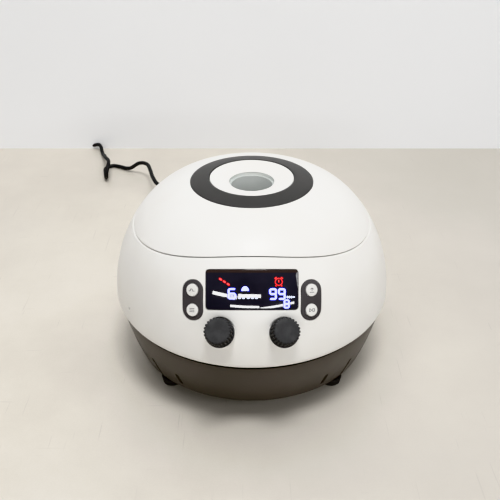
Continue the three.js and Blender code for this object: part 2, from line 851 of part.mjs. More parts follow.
function basePlate() {
  const inset = bowlWall + bowlEdgeRadius / 2 + seatGap * 2;
  const outline = round((angle) => bowlPoint(angle, plateBottom, inset).slice(0, 2));
  const plate = loft([atHeight(outline, plateBottom), atHeight(outline, plateTop)], false);
  const posts = damperPlaces().map(([x, y]) => (
    cylinder(postRadius, plateTop - plateThickness / 2, postTop, smallColumns).translate(x, y, 0)
  ));
  const holes = footPlaces().map(([, x, y]) => (
    cylinder(screwShankRadius + seatGap, plateBottom - cutOverrun, plateTop + cutOverrun, smallColumns)
      .translate(x, y, 0)
  ));
  return cut(join(plate, ...posts), ...holes);
}

function foot() {
  const top = bowlBottomHeight - seatGap;
  return revolve([
    [screwHoleRadius, footRecessDepth], [footRecessRadius, footRecessDepth], [footRecessRadius, 0],
    [footBottomRadius, 0], [footTopRadius, top], [screwHoleRadius, top],
  ], smallColumns);
}

function footScrew() {
  const headTop = footRecessDepth - seatGap;
  const headBottom = headTop - screwHeadHeight;
  return revolve([
    [0, headBottom], [screwHeadRadius, headBottom], [screwHeadRadius, headTop], [screwShankRadius, headTop],
    [screwShankRadius, plateTop + screwEngagement], [0, plateTop + screwEngagement],
  ], hiddenColumns);
}

// Motor, its plate and dampers, and the shaft that the rotor stands on

function damper() {
  const bottom = postTop + seatGap;
  const top = motorPlateBottom - seatGap;
  const bead = (top - bottom) / 5;
  return revolve([
    [0, bottom], [damperRadius, bottom], [damperWaist, bottom + 2 * bead],
    [damperWaist, top - 2 * bead], [damperRadius, top], [0, top],
  ], smallColumns);
}

function motorPlate() {
  const shape = circleShape(motorPlateRadius);
  shape.holes.push(circleShape(motorBossRadius + seatGap));
  return prism(shape, motorPlateBottom, motorPlateBottom + motorPlateThickness, holeColumns);
}

function motorBody() {
  const top = motorPlateBottom - seatGap;
  const bossTop = motorPlateBottom + motorPlateThickness + motorBossRise;
  const edge = motorShares.edge * motorRadius;
  return revolve([
    [0, motorBottom], [motorRadius - edge, motorBottom], [motorRadius, motorBottom + edge],
    [motorRadius, top - edge], [motorRadius - edge, top], [motorBossRadius, top],
    [motorBossRadius, bossTop], [shaftBore, bossTop],
    [shaftBore, shaftBottom - seatGap], [0, shaftBottom - seatGap],
  ], 2 * smallColumns);
}

const rotorHubTop = rotorBaseHeight + rotorHubHeight;

function motorShaft() {
  const threadTop = rotorHubTop + rotorNutHeight - screwEngagement;
  return revolve([
    [0, shaftBottom], [shaftRadius, shaftBottom], [shaftRadius, rotorHubTop - shaftRadius / 2],
    [shaftThreadRadius, rotorHubTop], [shaftThreadRadius, threadTop], [0, threadTop],
  ], smallColumns);
}

// Rotor: a cone turned from one blank, its tube pockets bored square to the inner cone

function rotor() {
  const bore = shaftRadius + seatGap;
  const body = revolve([
    [bore, 0], [rotorFootRadius, 0], [rotorFootRadius + rotorFootHeight, rotorFootHeight],
    [rotorUndersideRadius, rotorFootHeight], [rotorRadius, rotorRimBottom], [rotorRadius, rotorRimTop],
    [rotorCrestRadius + 1.5 * rotorFootHeight, rotorCrestHeight - rotorFootHeight / 2],
    [rotorCrestRadius, rotorCrestHeight], [rotorHubRadius, rotorHubHeight], [bore, rotorHubHeight],
  ].map(([radius, height]) => [radius, height + rotorBaseHeight]), rotorColumns);
  const slope = (rotorCrestHeight - rotorHubHeight) / (rotorCrestRadius - rotorHubRadius);
  const mouthHeight = rotorBaseHeight + rotorHubHeight + (pocketMouthCircle - rotorHubRadius) * slope;
  const tilt = radians(pocketTilt);
  const pockets = Array.from({ length: pocketCount }, (_, at) => {
    const angle = (at + 1 / 2) / pocketCount * fullTurn;
    const away = new THREE.Vector3(Math.sin(angle), -Math.cos(angle), 0);
    const axis = away.clone().multiplyScalar(-Math.sin(tilt)).setZ(Math.cos(tilt));
    const mouth = away.clone().multiplyScalar(pocketMouthCircle).setZ(mouthHeight);
    return placed(revolve([
      [0, -pocketDepth], [pocketRadius, pocketTipLength - pocketDepth],
      [pocketRadius, rotorCrestHeight], [0, rotorCrestHeight],
    ], smallColumns), axisFrame(mouth, axis));
  });
  return cut(body, ...pockets);
}

function rotorNut() {
  const bottom = rotorHubTop + seatGap;
  const top = rotorHubTop + rotorNutHeight;
  const chamfer = rotorNutFluteDepth * 2;
  const grip = flutedRing(rotorNutRadius, rotorNutFlutes, rotorNutFluteDepth, 2);
  const crown = flutedRing(rotorNutRadius - chamfer, rotorNutFlutes, rotorNutFluteDepth / 2, 2);
  const body = loft([atHeight(grip, bottom), atHeight(grip, top - chamfer), atHeight(crown, top)], false);
  const threadTop = top - screwEngagement + seatGap;
  const thread = cylinder(shaftThreadRadius + seatGap, bottom - cutOverrun, threadTop, smallColumns);
  return cut(body, thread);
}

// Chamber bowl, hung by its flange on the deck, and the gasket on the flange

function chamberBowl() {
  const seat = deckHeight + seatGap;
  const bottom = chamberFloorHeight;
  const floor = bottom + chamberWall;
  const turn = [0, 1, 2].map((at) => (at / 2) * (Math.PI / 2));
  const inner = turn.map((angle) => [
    chamberFloorRadius - chamberFillet * (1 - Math.sin(angle)),
    floor + chamberFillet * (1 - Math.cos(angle)),
  ]);
  const outerFillet = chamberFillet + chamberWall;
  const outer = turn.map((angle) => [
    chamberFloorRadius + chamberWall - outerFillet * (1 - Math.sin(angle)),
    bottom + outerFillet * (1 - Math.cos(angle)),
  ]);
  const topRadius = mouthRadius + chamberFlangeWidth;
  return revolve([
    [chamberHubHole, bottom], [chamberHubHole, floor], ...inner,
    [chamberTopRadius, seat + chamberWall], [topRadius, seat + chamberWall], [topRadius, seat],
    [chamberTopRadius + chamberWall, seat], ...outer.reverse(),
  ]);
}

function chamberGasket() {
  const bottom = deckHeight + seatGap + chamberWall + seatGap;
  const inner = chamberTopRadius + chamberWall / 2;
  const lip = gasketWidth / 4;
  return revolve([
    [inner, bottom], [inner, bottom + gasketHeight / 2], [inner + lip, bottom + gasketHeight],
    [inner + gasketWidth - lip, bottom + gasketHeight], [inner + gasketWidth, bottom],
  ]);
}

const linerBottom = deckHeight + gasketClearance + chamberWall + gasketHeight;

// Lid: dome shell with a round ledge for the ring, liner, ring, dished centre and sight glass

function lidShell() {
  const low = (angle) => seamHeight(angle) + lidSeamGap / 2;
  const ringSeat = (ringOuterRadius + seatGap) / bodyHalfWidth;
  const ledge = domeHeight(ringShare) - lidLedgeDrop;
  const insideEnd = (ringOuterRadius - lidWall) / (bodyHalfWidth - lidWall);
  return loft([
    ...[0, ...steps(shellRows)].map((part) => round((angle) => {
      const share = THREE.MathUtils.lerp(domeShare(low(angle)), ringSeat, part);
      return planPoint(angle, share, 0, domeHeight(share));
    })),
    circleAt(ringOuterRadius + seatGap, ledge),
    circleAt(lidHoleRadius, ledge),
    circleAt(lidHoleRadius, ledge - lidWall),
    ...[0, ...steps(3)].map((part) => round((angle) => {
      const share = THREE.MathUtils.lerp(insideEnd, domeShare(low(angle), lidWall), part);
      return planPoint(angle, share, lidWall, domeHeight(share, lidWall));
    })),
  ], true);
}

function lidRing() {
  const bottom = domeHeight(ringShare) - lidLedgeDrop + seatGap;
  const crown = [0, 1, 2, 3].map((at) => {
    const radius = THREE.MathUtils.lerp(ringOuterRadius, ringInnerRadius, at / 3);
    return [radius, domeHeight(radius / bodyHalfWidth)];
  });
  return revolve([[ringInnerRadius, bottom], [ringOuterRadius, bottom], ...crown], housingColumns);
}

const dishTop = domeHeight(ringInnerRadius / bodyHalfWidth) + dishLipHeight;
const glassTop = dishTop - glassDrop;

function lidDish() {
  const ledge = domeHeight(ringShare) - lidLedgeDrop + seatGap;
  const seat = glassTop - glassThickness - seatGap;
  const neckTop = dishTop - dishFall;
  const neckBottom = linerBottom + linerWall + seatGap;
  return revolve([
    [dishRimRadius, ledge], [dishRimRadius, dishTop - dishEdgeRound / 2],
    [dishRimRadius - dishEdgeRound / 2, dishTop], [dishFloorRadius, neckTop],
    [neckInnerRadius, neckTop - dishEdgeRound / 2],
    [neckInnerRadius, seat], [glassStepRadius, seat], [glassStepRadius, seat - glassStepThickness],
    [neckInnerRadius, neckBottom], [neckOuterRadius, neckBottom],
    [neckOuterRadius, neckTop - lidWall - dishEdgeRound], [lidHoleRadius - seatGap, ledge - dishEdgeRound],
    [lidHoleRadius - seatGap, ledge],
  ]);
}

function sightGlass() {
  const radius = neckInnerRadius - seatGap;
  const bevel = glassThickness / 4;
  return revolve([
    [0, glassTop - glassThickness], [radius, glassTop - glassThickness], [radius, glassTop - bevel],
    [radius - bevel, glassTop], [0, glassTop],
  ]);
}

function lidLiner() {
  const low = (angle) => seamHeight(angle) + lidSeamGap / 2 + seatGap;
  const skirtInset = shellWall + linerRimGap;
  const rimInset = lidWall + linerTopGap;
  const skirtShare = (angle) => domeShare(seamHeight(angle) - lidSeamGap / 2);
  const liner = loft([
    round((angle) => planPoint(angle, skirtShare(angle), skirtInset, linerBottom)),
    round((angle) => domePoint(angle, low(angle), Math.max(rimInset, skirtInset))),
    round((angle) => domePoint(angle, low(angle) + linerWall, Math.max(rimInset, skirtInset))),
    round((angle) => {
      const height = low(angle) + linerWall;
      return planPoint(angle, domeShare(height), skirtInset + linerWall, height);
    }),
    round((angle) => planPoint(angle, skirtShare(angle), skirtInset + linerWall, linerBottom + linerWall)),
    circleAt(linerHoleRadius, linerBottom + linerWall),
    circleAt(linerHoleRadius, linerBottom),
  ], true);
  return liner;
}

function lidStriker() {
  const [front, rear] = [strikerMiddleY - strikerThickness / 2, strikerMiddleY + strikerThickness / 2];
  const plate = box(-strikerHalfWidth, strikerHalfWidth, front, rear, strikerBottom, linerBottom - seatGap);
  const slotBottom = strikerBottom + strikerSlotRise;
  return cut(plate, box(
    -strikerSlotHalfWidth, strikerSlotHalfWidth, front - cutOverrun, rear + cutOverrun,
    slotBottom, slotBottom + strikerSlotHeight,
  ));
}

// Latch under the deck, in front of the striker

const boltMiddle = strikerBottom + strikerSlotRise + strikerSlotHeight / 2;
const boltTipY = strikerReachY - seatGap;
const latchFrameRear = boltTipY - boltProud;

function latchFrame() {
  const top = deckHeight - deckWall - seatGap;
  const front = latchFrameRear - latchFrameThickness;
  const half = latchFrameHalfWidth;
  const back = box(-half, half, front, latchFrameRear, top - latchFrameDrop, top);
  const earInner = strikerHalfWidth + 2 * strikerPlay;
  const ears = [-1, 1].map((side) => box(
    Math.min(side * earInner, side * half), Math.max(side * earInner, side * half),
    front, latchFrameRear + latchEarLength, top - latchEarHeight, top,
  ));
  const guide = box(
    -boltHalfWidth - seatGap, boltHalfWidth + seatGap, front - cutOverrun, latchFrameRear + cutOverrun,
    boltMiddle - boltHeight / 2 - seatGap, boltMiddle + boltHeight / 2 + seatGap,
  );
  return cut(join(back, ...ears), guide);
}

function latchSolenoid() {
  const rear = latchFrameRear - latchFrameThickness - seatGap;
  const front = rear - solenoidLength;
  const body = box(
    -solenoidHalfWidth, solenoidHalfWidth, front, rear,
    boltMiddle - solenoidHeight / 2, boltMiddle + solenoidHeight / 2,
  );
  const bore = box(
    -solenoidBore - seatGap, solenoidBore + seatGap, front + shellWall, rear + cutOverrun,
    boltMiddle - boltHeight / 2 - 2 * seatGap, boltMiddle + boltHeight / 2 + 2 * seatGap,
  );
  return cut(body, bore);
}

function latchBolt() {
  const [low, high] = [boltMiddle - boltHeight / 2, boltMiddle + boltHeight / 2];
  const nose = boltHeight / 2;
  const tailY = boltTipY - boltTravel - boltTail;
  const outline = new THREE.Shape();
  outline.moveTo(tailY, low);
  outline.lineTo(boltTipY, low);
  outline.lineTo(boltTipY, high - nose);
  outline.lineTo(boltTipY - nose, high);
  outline.lineTo(tailY, high);
  const side = prism(outline, -boltHalfWidth, boltHalfWidth);
  const turn = new THREE.Matrix4().makeBasis(
    new THREE.Vector3(0, 1, 0), new THREE.Vector3(0, 0, 1), new THREE.Vector3(1, 0, 0),
  );
  return placed(side, turn);
}

// Rear hinge of the lid

function alongX(radius, left, right, columns = smallColumns) {
  return cylinder(radius, left, right, columns).rotateY(Math.PI / 2).translate(0, hingeY, hingeZ);
}

// A strap that hugs the dome: the lid's starts at the axis, the brackets' end below the seam
function hingeStrap(left, right, upward) {
  const [low, high] = upward
    ? [hingeZ, hingeZ + hingeArmLength]
    : [hingeZ - hingeStrapLength, lidSeamHeight - lidSeamGap / 2];
  const slab = box(left, right, hingeY - 2 * hingeStrapLength, hingeY + knuckleRadius, low, high);
  return common(slab, cut(domeSolid(-hingeStrapThickness), domeSolid(-seatGap)));
}

function hingeLeaf(left, right, upward) {
  const barrel = alongX(knuckleRadius, left, right, holeColumns);
  const [low, high] = upward ? [hingeZ, hingeZ + knuckleRadius] : [hingeZ - knuckleRadius, hingeZ];
  const web = box(left, right, hingeY - hingeStandOff, hingeY, low, high);
  const leaf = join(
    hingeStrap(left, right, upward),
    cut(web, domeSolid(-seatGap)),
    cut(barrel, domeSolid(-seatGap)),
  );
  return cut(leaf, alongX(hingePinHole, left - cutOverrun, right + cutOverrun));
}

function hingeBracket(side) {
  const inner = armHalfWidth + knuckleGap;
  const ends = [side * inner, side * (inner + bracketWidth)];
  return hingeLeaf(Math.min(...ends), Math.max(...ends), false);
}

function hingePin() {
  const half = armHalfWidth + knuckleGap + bracketWidth + seatGap;
  const shank = alongX(hingePinRadius, -half, half);
  return join(
    shank,
    alongX(hingePinHead, -half - hingePinHeadLength, -half),
    alongX(hingePinHead, half, half + hingePinHeadLength),
  );
}

// Console pieces

function displayWindow() {
  const through = placed(prism(windowShape, -consoleReach, consoleReach), windowFrame);
  return common(through, domeLayer(0, windowThickness));
}

function displayModule() {
  const width = windowWidth - 2 * displayMargin;
  const height = windowHeight - 2 * displayMargin;
  const shape = roundedRectangle(width, height, windowCorner);
  const front = -displayRecess();
  return placed(prism(shape, front - displayThickness, front, 2), windowFrame);
}

// Depth at which the flat module, inside the shell's opening, clears the curved glass at its corners
function displayRecess() {
  const toWindow = windowFrame.clone().invert();
  const rise = (windowHeight / 2 - displayMargin) * windowFrame.elements[6];
  const depths = [-rise, rise].map((step) => (
    consolePoint(windowWidth / 2 - displayMargin, windowMiddleHeight + step).applyMatrix4(toWindow).z
  ));
  return windowThickness + seatGap - Math.min(...depths);
}

function pad(frame) {
  const block = placed(prism(padShape(0), padStand - padThickness, consoleReach), frame);
  const plate = common(block, domeSolid(-padStand));
  return cut(plate, ...buttonPlaces.map((rise) => placed(
    cylinder(buttonRadius + fitGap, -consoleReach, consoleReach, smallColumns).translate(0, rise, 0),
    frame,
  )));
}

function button() {
  const stemEnd = buttonRise - buttonCap - buttonStemLength;
  const edge = buttonRadius / 8;
  return revolve([
    [0, stemEnd], [buttonStemRadius, stemEnd], [buttonStemRadius, buttonRise - buttonCap],
    [buttonRadius, buttonRise - buttonCap], [buttonRadius, buttonRise - edge],
    [buttonRadius - edge, buttonRise], [0, buttonRise],
  ], smallColumns);
}

function buttonBoard(frame) {
  const contact = buttonRise - buttonCap - buttonStemLength - buttonTravel - seatGap;
  const shape = roundedRectangle(buttonBoardWidth, buttonBoardLength, buttonBoardThickness);
  const top = contact - buttonBoardThickness;
  const middle = top - buttonBoardThickness / 2;
  const board = prism(shape, top - buttonBoardThickness, top, 2);
  const switches = buttonPlaces.map((rise) => box(
    -buttonStemRadius, buttonStemRadius, rise - buttonStemRadius, rise + buttonStemRadius,
    middle, contact,
  ));
  const posts = [-1, 1].map((end) => (
    cylinder(buttonStemRadius / 2, middle, 0, hiddenColumns)
      .translate(end * (buttonBoardWidth / 2 - buttonStemRadius / 2 - buttonBoardThickness / 4), 0, 0)
  ));
  return join(placed(join(board, ...switches), frame), ...posts.map((post) => (
    common(placed(post, frame), domeSolid(shellWall + 3 * seatGap))
  )));
}

function knob() {
  const bottom = seatLift + seatGap;
  const count = 2;
  const grip = flutedRing(knobRadius, knobFlutes, knobFluteDepth, count);
  const crown = flutedRing(knobRadius - knobChamfer, knobFlutes, knobFluteDepth / 2, count);
  const skirt = roundRing(knobSkirtRadius, knobFlutes * count);
  const top = bottom + knobHeight;
  const body = loft([
    atHeight(skirt, bottom), atHeight(skirt, bottom + knobSkirtHeight),
    atHeight(grip, bottom + knobSkirtHeight), atHeight(grip, top - knobChamfer), atHeight(crown, top),
  ], false);
  return cut(body, cylinder(encoderShaftBore, bottom - cutOverrun, bottom + knobBoreDepth, smallColumns));
}

function encoder() {
  const top = -encoderDepth;
  const half = encoderSize / 2;
  const body = box(-half, half, -half, half, top - encoderHeight, top);
  const bush = cylinder(encoderBushRadius, top - encoderHeight / 2, seatLift - seatWall, smallColumns);
  const bore = cylinder(encoderShaftBore, top - encoderHeight / 2, seatLift, smallColumns);
  return cut(join(body, bush), bore);
}

function encoderShaft() {
  const bottom = -encoderDepth - encoderHeight / 2 + seatGap;
  return cylinder(encoderShaftRadius, bottom, seatLift + encoderShaftReach, smallColumns);
}

// One board behind both encoders, square to their axes
function controlBoard() {
  const half = knobX + encoderSize / 2 + boardMargin;
  const shape = roundedRectangle(2 * half, boardAbove + boardBelow, boardThickness);
  const splay = radians(knobSplay);
  const lowest = (encoderDepth + encoderHeight) * Math.cos(splay) + encoderSize / 2 * Math.sin(splay);
  const top = -lowest - seatGap;
  const middle = axisFrame(consolePoint(knobX, knobHeightOnBody).setX(0), knobDirection);
  const board = prism(shape, top - boardThickness, top, 2).translate(0, (boardAbove - boardBelow) / 2, 0);
  return placed(board, middle);
}

// Rear bay pieces: inlet, rocker switch and power board

const bayFace = bayPanelDepth + seatGap;

function inletJack() {
  const back = -jackLength;
  const pocket = plugBarrelLength + seatGap * 2;
  const body = revolve([
    [0, back], [jackRadius, back], [jackRadius, 0], [jackFlangeRadius, 0], [jackFlangeRadius, jackFlange],
    [jackBore, jackFlange], [jackBore, jackFlange - pocket], [0, jackFlange - pocket],
  ], holeColumns);
  return body.rotateX(-Math.PI / 2).translate(jackX, bayFace, bayMiddle);
}

function rockerFrame() {
  const corner = rockerFrameRim / 4;
  const sleeveWidth = rockerWidth + 2 * rockerFrameRim;
  const sleeveHeight = rockerHeight + 2 * rockerFrameRim;
  const flangeWidth = rockerWidth + 4 * rockerFrameRim;
  const flangeHeight = rockerHeight + 4 * rockerFrameRim;
  const flange = roundedRectangle(flangeWidth, flangeHeight, rockerFrameRim);
  const sleeve = roundedRectangle(sleeveWidth, sleeveHeight, corner);
  const opening = roundedRectangle(rockerWidth, rockerHeight, corner);
  const body = join(
    prism(flange, 0, rockerFrameFlange, 2),
    prism(sleeve, -rockerFrameDepth, rockerFrameFlange / 2, 2),
  );
  const wellBottom = -rockerThickness - rockerCrown - rockerWellGap;
  const well = prism(opening, wellBottom, rockerFrameFlange + cutOverrun, 2);
  return uprightAtRear(cut(body, well), rockerX);
}

// Turns a piece drawn in X and Y, facing +Z, so that it faces the rear of the bay
function uprightAtRear(geometry, x) {
  return geometry.rotateX(Math.PI / 2).rotateZ(Math.PI).translate(x, bayFace, bayMiddle);
}

function powerRocker() {
  const half = rockerHeight / 2 - seatGap * 2;
  const tilt = radians(rockerTilt);
  const outline = new THREE.Shape();
  outline.moveTo(-half * Math.cos(tilt), -rockerThickness);
  outline.lineTo(half * Math.cos(tilt), -rockerThickness);
  outline.lineTo(half, rockerCrown);
  outline.lineTo(0, 0);
  outline.lineTo(-half, rockerCrown);
  const width = rockerWidth / 2 - seatGap;
  const side = prism(outline, -width, width);
  const across = new THREE.Matrix4().makeBasis(
    new THREE.Vector3(0, 0, 1), new THREE.Vector3(0, 1, 0), new THREE.Vector3(-1, 0, 0),
  );
  const bar = placed(side, across);
  bar.rotateX(tilt);
  return bar.translate(rockerX, bayFace + rockerCrown / 2, bayMiddle);
}

function powerBoard() {
  const bottom = plateTop + powerBoardStand;
  const [left, right] = [-powerBoardWidth / 2, powerBoardWidth / 2];
  const [front, rear] = [powerBoardFront, powerBoardRear];
  const board = box(left, right, front, rear, bottom, bottom + boardThickness);
  const stand = powerBoardShares.post * (rear - front);
  const inset = powerBoardShares.inset * stand;
  const partBottom = bottom + boardThickness / 2;
  const partTop = bottom + powerBoardPartHeight;
  const feet = [[left, 1], [right, -1]].flatMap(([x, inward]) => (
    [[front, 1], [rear, -1]].map(([y, toMiddle]) => (
      cylinder(stand, plateTop + seatGap, partBottom, smallColumns)
        .translate(x + inward * inset, y + toMiddle * inset, 0)
    ))
  ));
  const capacitor = cylinder(powerBoardShares.capacitor * stand, partBottom, partTop, smallColumns)
    .translate(left / 2, (front + rear) / 2, 0);
  const choke = box(
    powerBoardShares.chokeLeft * right, powerBoardShares.chokeRight * right,
    front + stand, rear - stand, partBottom, partTop,
  );
  return join(board, ...feet, capacitor, choke);
}

// Supply lead: plug, laid stretch, put-away coil, tail and adapter

function leadPlug() {
  const start = jackFlange + seatGap;
  const tip = start - plugBarrelLength;
  const bodyEnd = start + plugBodyLength;
  const end = bodyEnd + plugReliefLength;
  const edge = plugEdge;
  const body = revolve([
    [0, tip], [plugBarrelRadius, tip], [plugBarrelRadius, start], [plugBodyRadius - edge, start],
    [plugBodyRadius, start + edge], [plugBodyRadius, bodyEnd - edge], [plugReliefRadius + edge, bodyEnd],
    [plugReliefRadius, end], [0, end],
  ], holeColumns);
  return body.rotateX(-Math.PI / 2).translate(jackX, bayFace, bayMiddle);
}

const plugEnd = bayFace + jackFlange + seatGap + plugBodyLength + plugReliefLength;
const leadRest = leadDiameter / 2 + seatGap;

// The lead's route as it lies, from the plug to the coil, chosen by hand
const leadRoute = [
  [-17, 156, 32], [-20, 174, 31], [-30, 196, 29], [-48, 219, 26], [-70, 240, 23], [-93, 259, 21],
  [-113.5, 278, 20], [-122.5, 299, 20], [-128.3, 320.6, 20], [-133.9, 337.7, 20], [-140.5, 345.5, 19],
  [-147.5, 350.8, 16], [-154.5, 355.7, 10], [-160.3, 359.9, 5.2], [-167, 364.7, 3], [-175, 369.6, 2.7],
  [-185.2, 373.3, 2.7], [-191.8, 369.3, 2.7], [-194.2, 362.2, 2.7], [-192, 350, 2.7], [-189, 336.3, 3],
  [-187, 329.5, 5.8], [-185.6, 326.6, 12.3], [-184.4, 329.2, 18.9], [-184, 336, 21.9], [-186, 347, 21.8],
  [-190.5, 358, 20], [-195, 372, 16], [-199, 388, 11], [-203.5, 403, 5.5], [-206.8, 414, 3],
  [-209.2, 421, 4], [-211, 427, 6.8], [-214.5, 432.8, 8.3], [-219.5, 437.5, 6.6], [-225.5, 442.5, 3.6],
  [-235, 449, 2.7], [-255, 463, 2.7], [-276, 483, 2.7], [-289, 507, 2.7],
];

function leadCurve() {
  const start = new THREE.Vector3(jackX, plugEnd + seatGap, bayMiddle);
  const straight = start.clone().add(new THREE.Vector3(0, leadDiameter, 0));
  const coil = coilPoints();
  const entry = coil[0].clone();
  const approach = coil[0].clone().sub(coil[1]).normalize();
  const end = entry.clone().addScaledVector(approach, seatGap);
  const before = end.clone().addScaledVector(approach, leadDiameter);
  const middle = leadRoute.map((point) => new THREE.Vector3(...point));
  return new THREE.CatmullRomCurve3([start, straight, ...middle, before, end], false, 'centripetal');
}

function tube(curve, count, sides) {
  const section = Array.from({ length: sides }, (_, at) => {
    const angle = (at + 1 / 2) / sides * fullTurn;
    return new THREE.Vector2(Math.cos(angle), Math.sin(angle)).multiplyScalar(leadDiameter / 2);
  });
  return new THREE.ExtrudeGeometry(new THREE.Shape(section), { steps: count, extrudePath: curve });
}

// The coil spirals in on the surface, climbs in half a turn and spirals out again on top
function coilPoints() {
  const turns = 2 * coilLoopsPerLayer + 1 / 2;
  const count = Math.round(turns * coilStepsPerLoop);
  const reversal = turns / 2;
  return Array.from({ length: count + 1 }, (_, at) => {
    const turn = at / coilStepsPerLoop;
    const inward = Math.min(turn, 2 * reversal - turn);
    const climb = THREE.MathUtils.clamp((turn - coilLoopsPerLayer) * 2, 0, 1);
    const lift = climb * climb * (3 - 2 * climb);
    const radius = coilRadius + coilPitch * (coilLoopsPerLayer / 2 - inward);
    const angle = Math.PI - turn * fullTurn;
    return new THREE.Vector3(
      coilCenterX + radius * Math.cos(angle),
      coilCenterY + radius * Math.sin(angle),
      leadRest + coilLift * lift,
    );
  });
}

function sweepRings(points, sides) {
  const up = new THREE.Vector3(0, 0, 1);
  return points.map((point, at) => {
    const ahead = points[Math.min(at + 1, points.length - 1)];
    const along = ahead.clone().sub(points[Math.max(at - 1, 0)]).normalize();
    const out = along.clone().cross(up).normalize();
    const over = out.clone().cross(along);
    return Array.from({ length: sides }, (_, side) => {
      const angle = (side / sides) * fullTurn;
      const place = point.clone()
        .addScaledVector(out, Math.cos(angle) * leadDiameter / 2)
        .addScaledVector(over, Math.sin(angle) * leadDiameter / 2);
      return place.toArray();
    });
  });
}

function leadCoil() {
  const points = coilPoints();
  console.log(`lead_coil: least gap to itself ${leastGap(points).toFixed(2)} mm`);
  return loft(sweepRings(points, coilSides), false);
}

// The least distance between two surfaces of the wound lead that are half a loop or more apart
function leastGap(points) {
  const apart = coilStepsPerLoop / 2;
  let least = Infinity;
  points.forEach((point, at) => {
    points.slice(at + apart).forEach((other, beyond) => {
      const next = points[Math.min(at + apart + beyond + 1, points.length - 1)];
      const near = new THREE.Line3(other, next).closestPointToPoint(point, true, new THREE.Vector3());
      least = Math.min(least, near.distanceTo(point) - leadDiameter);
    });
  });
  return least;
}

const tailRoute = [[-290, 556, 7.5], [-281, 582, 8], [-264, 602, 11], [-243, 612, 14.5]];

function leadTail() {
  const points = coilPoints();
  const leave = points.at(-1).clone().sub(points.at(-2)).normalize();
  const start = points.at(-1).clone().addScaledVector(leave, seatGap);
  const after = start.clone().addScaledVector(leave, leadDiameter);
  const { reliefEnd, back } = adapterEntry();
  const before = reliefEnd.clone().addScaledVector(back, leadDiameter);
  const end = reliefEnd.clone().addScaledVector(back, seatGap);
  const curve = new THREE.CatmullRomCurve3([
    start, after, ...tailRoute.map((point) => new THREE.Vector3(...point)), before, end,
  ], false, 'centripetal');
  return tube(curve, tailSteps, leadSides);
}

function adapterEntry() {
  const front = adapterCenterX - adapterLength / 2;
  const y = coilCenterY + coilRadius + adapterWidth / 2 + coilPitch;
  const back = new THREE.Vector3(-1, 0, 0);
  const reliefEnd = new THREE.Vector3(front - adapterReliefLength, y, adapterHeight / 2);
  return { front, y, back, reliefEnd };
}

function adapter() {
  const { front, y } = adapterEntry();
  const outline = roundedRectangle(adapterWidth, adapterHeight, adapterCorner);
  const upright = new THREE.Matrix4().makeBasis(
    new THREE.Vector3(0, 1, 0), new THREE.Vector3(0, 0, 1), new THREE.Vector3(1, 0, 0),
  ).setPosition(front, y, adapterHeight / 2);
  const body = prism(outline, 0, adapterLength, 4);
  const relief = revolve([
    [0, -adapterReliefLength], [plugReliefRadius, -adapterReliefLength], [adapterReliefRadius, shellWall],
    [0, shellWall],
  ], holeColumns);
  const socket = prism(
    roundedRectangle(adapterInletWidth, adapterInletHeight, adapterInletCorner),
    adapterLength - adapterInletDepth, adapterLength + cutOverrun, 2,
  );
  return placed(cut(join(body, relief), socket), upright);
}

// Assembly

const root = new THREE.Group();
root.name = 'microcentrifuge';

function addTo(group, name, geometry, finishName) {
  group.add(named(name, geometry, finish(finishName)));
}

function housing() {
  const group = new THREE.Group();
  addTo(group, 'base_bowl', baseBowl(), 'darkShell');
  addTo(group, 'base_plate', basePlate(), 'plateSteel');
  footPlaces().forEach(([name, x, y]) => {
    const rubberFoot = named(`foot_${name}`, foot(), finish('rubber'));
    rubberFoot.position.set(x, y, 0);
    const screw = named(`foot_screw_${name}`, footScrew(), finish('steel'));
    screw.position.set(x, y, 0);
    group.add(rubberFoot, screw);
  });
  addTo(group, 'upper_shell', upperShell(), 'whiteShell');
  addTo(group, 'chamber_bowl', chamberBowl(), 'steel');
  addTo(group, 'chamber_gasket', chamberGasket(), 'rubber');
  addTo(group, 'inlet_jack', inletJack(), 'blackPlastic');
  addTo(group, 'rocker_frame', rockerFrame(), 'blackPlastic');
  addTo(group, 'power_rocker', powerRocker(), 'blackPlastic');
  addTo(group, 'power_board', powerBoard(), 'board');
  return group;
}

function drive() {
  const group = new THREE.Group();
  damperPlaces().forEach(([x, y], at) => {
    const rubber = named(`motor_damper_${at + 1}`, damper(), finish('rubber'));
    rubber.position.set(x, y, 0);
    group.add(rubber);
  });
  addTo(group, 'motor_plate', motorPlate(), 'plateSteel');
  addTo(group, 'motor_body', motorBody(), 'blackPlastic');
  addTo(group, 'motor_shaft', motorShaft(), 'steel');
  addTo(group, 'rotor', rotor(), 'rotorAluminium');
  addTo(group, 'rotor_nut', rotorNut(), 'blackPlastic');
  return group;
}

function lid() {
  const group = new THREE.Group();
  addTo(group, 'lid_shell', lidShell(), 'whiteShell');
  addTo(group, 'lid_liner', lidLiner(), 'whiteShell');
  addTo(group, 'lid_ring', lidRing(), 'darkTrim');
  addTo(group, 'lid_dish', lidDish(), 'whiteShell');
  addTo(group, 'sight_glass', sightGlass(), 'clear');
  addTo(group, 'lid_striker', lidStriker(), 'steel');
  addTo(group, 'hinge_arm', hingeLeaf(-armHalfWidth, armHalfWidth, true), 'whiteShell');
  return group;
}

function hingeAndLatch() {
  const group = new THREE.Group();
  addTo(group, 'hinge_bracket_left', hingeBracket(-1), 'whiteShell');
  addTo(group, 'hinge_bracket_right', hingeBracket(1), 'whiteShell');
  addTo(group, 'hinge_pin', hingePin(), 'steel');
  addTo(group, 'latch_frame', latchFrame(), 'plateSteel');
  addTo(group, 'latch_solenoid', latchSolenoid(), 'blackPlastic');
  addTo(group, 'latch_bolt', latchBolt(), 'steel');
  return group;
}

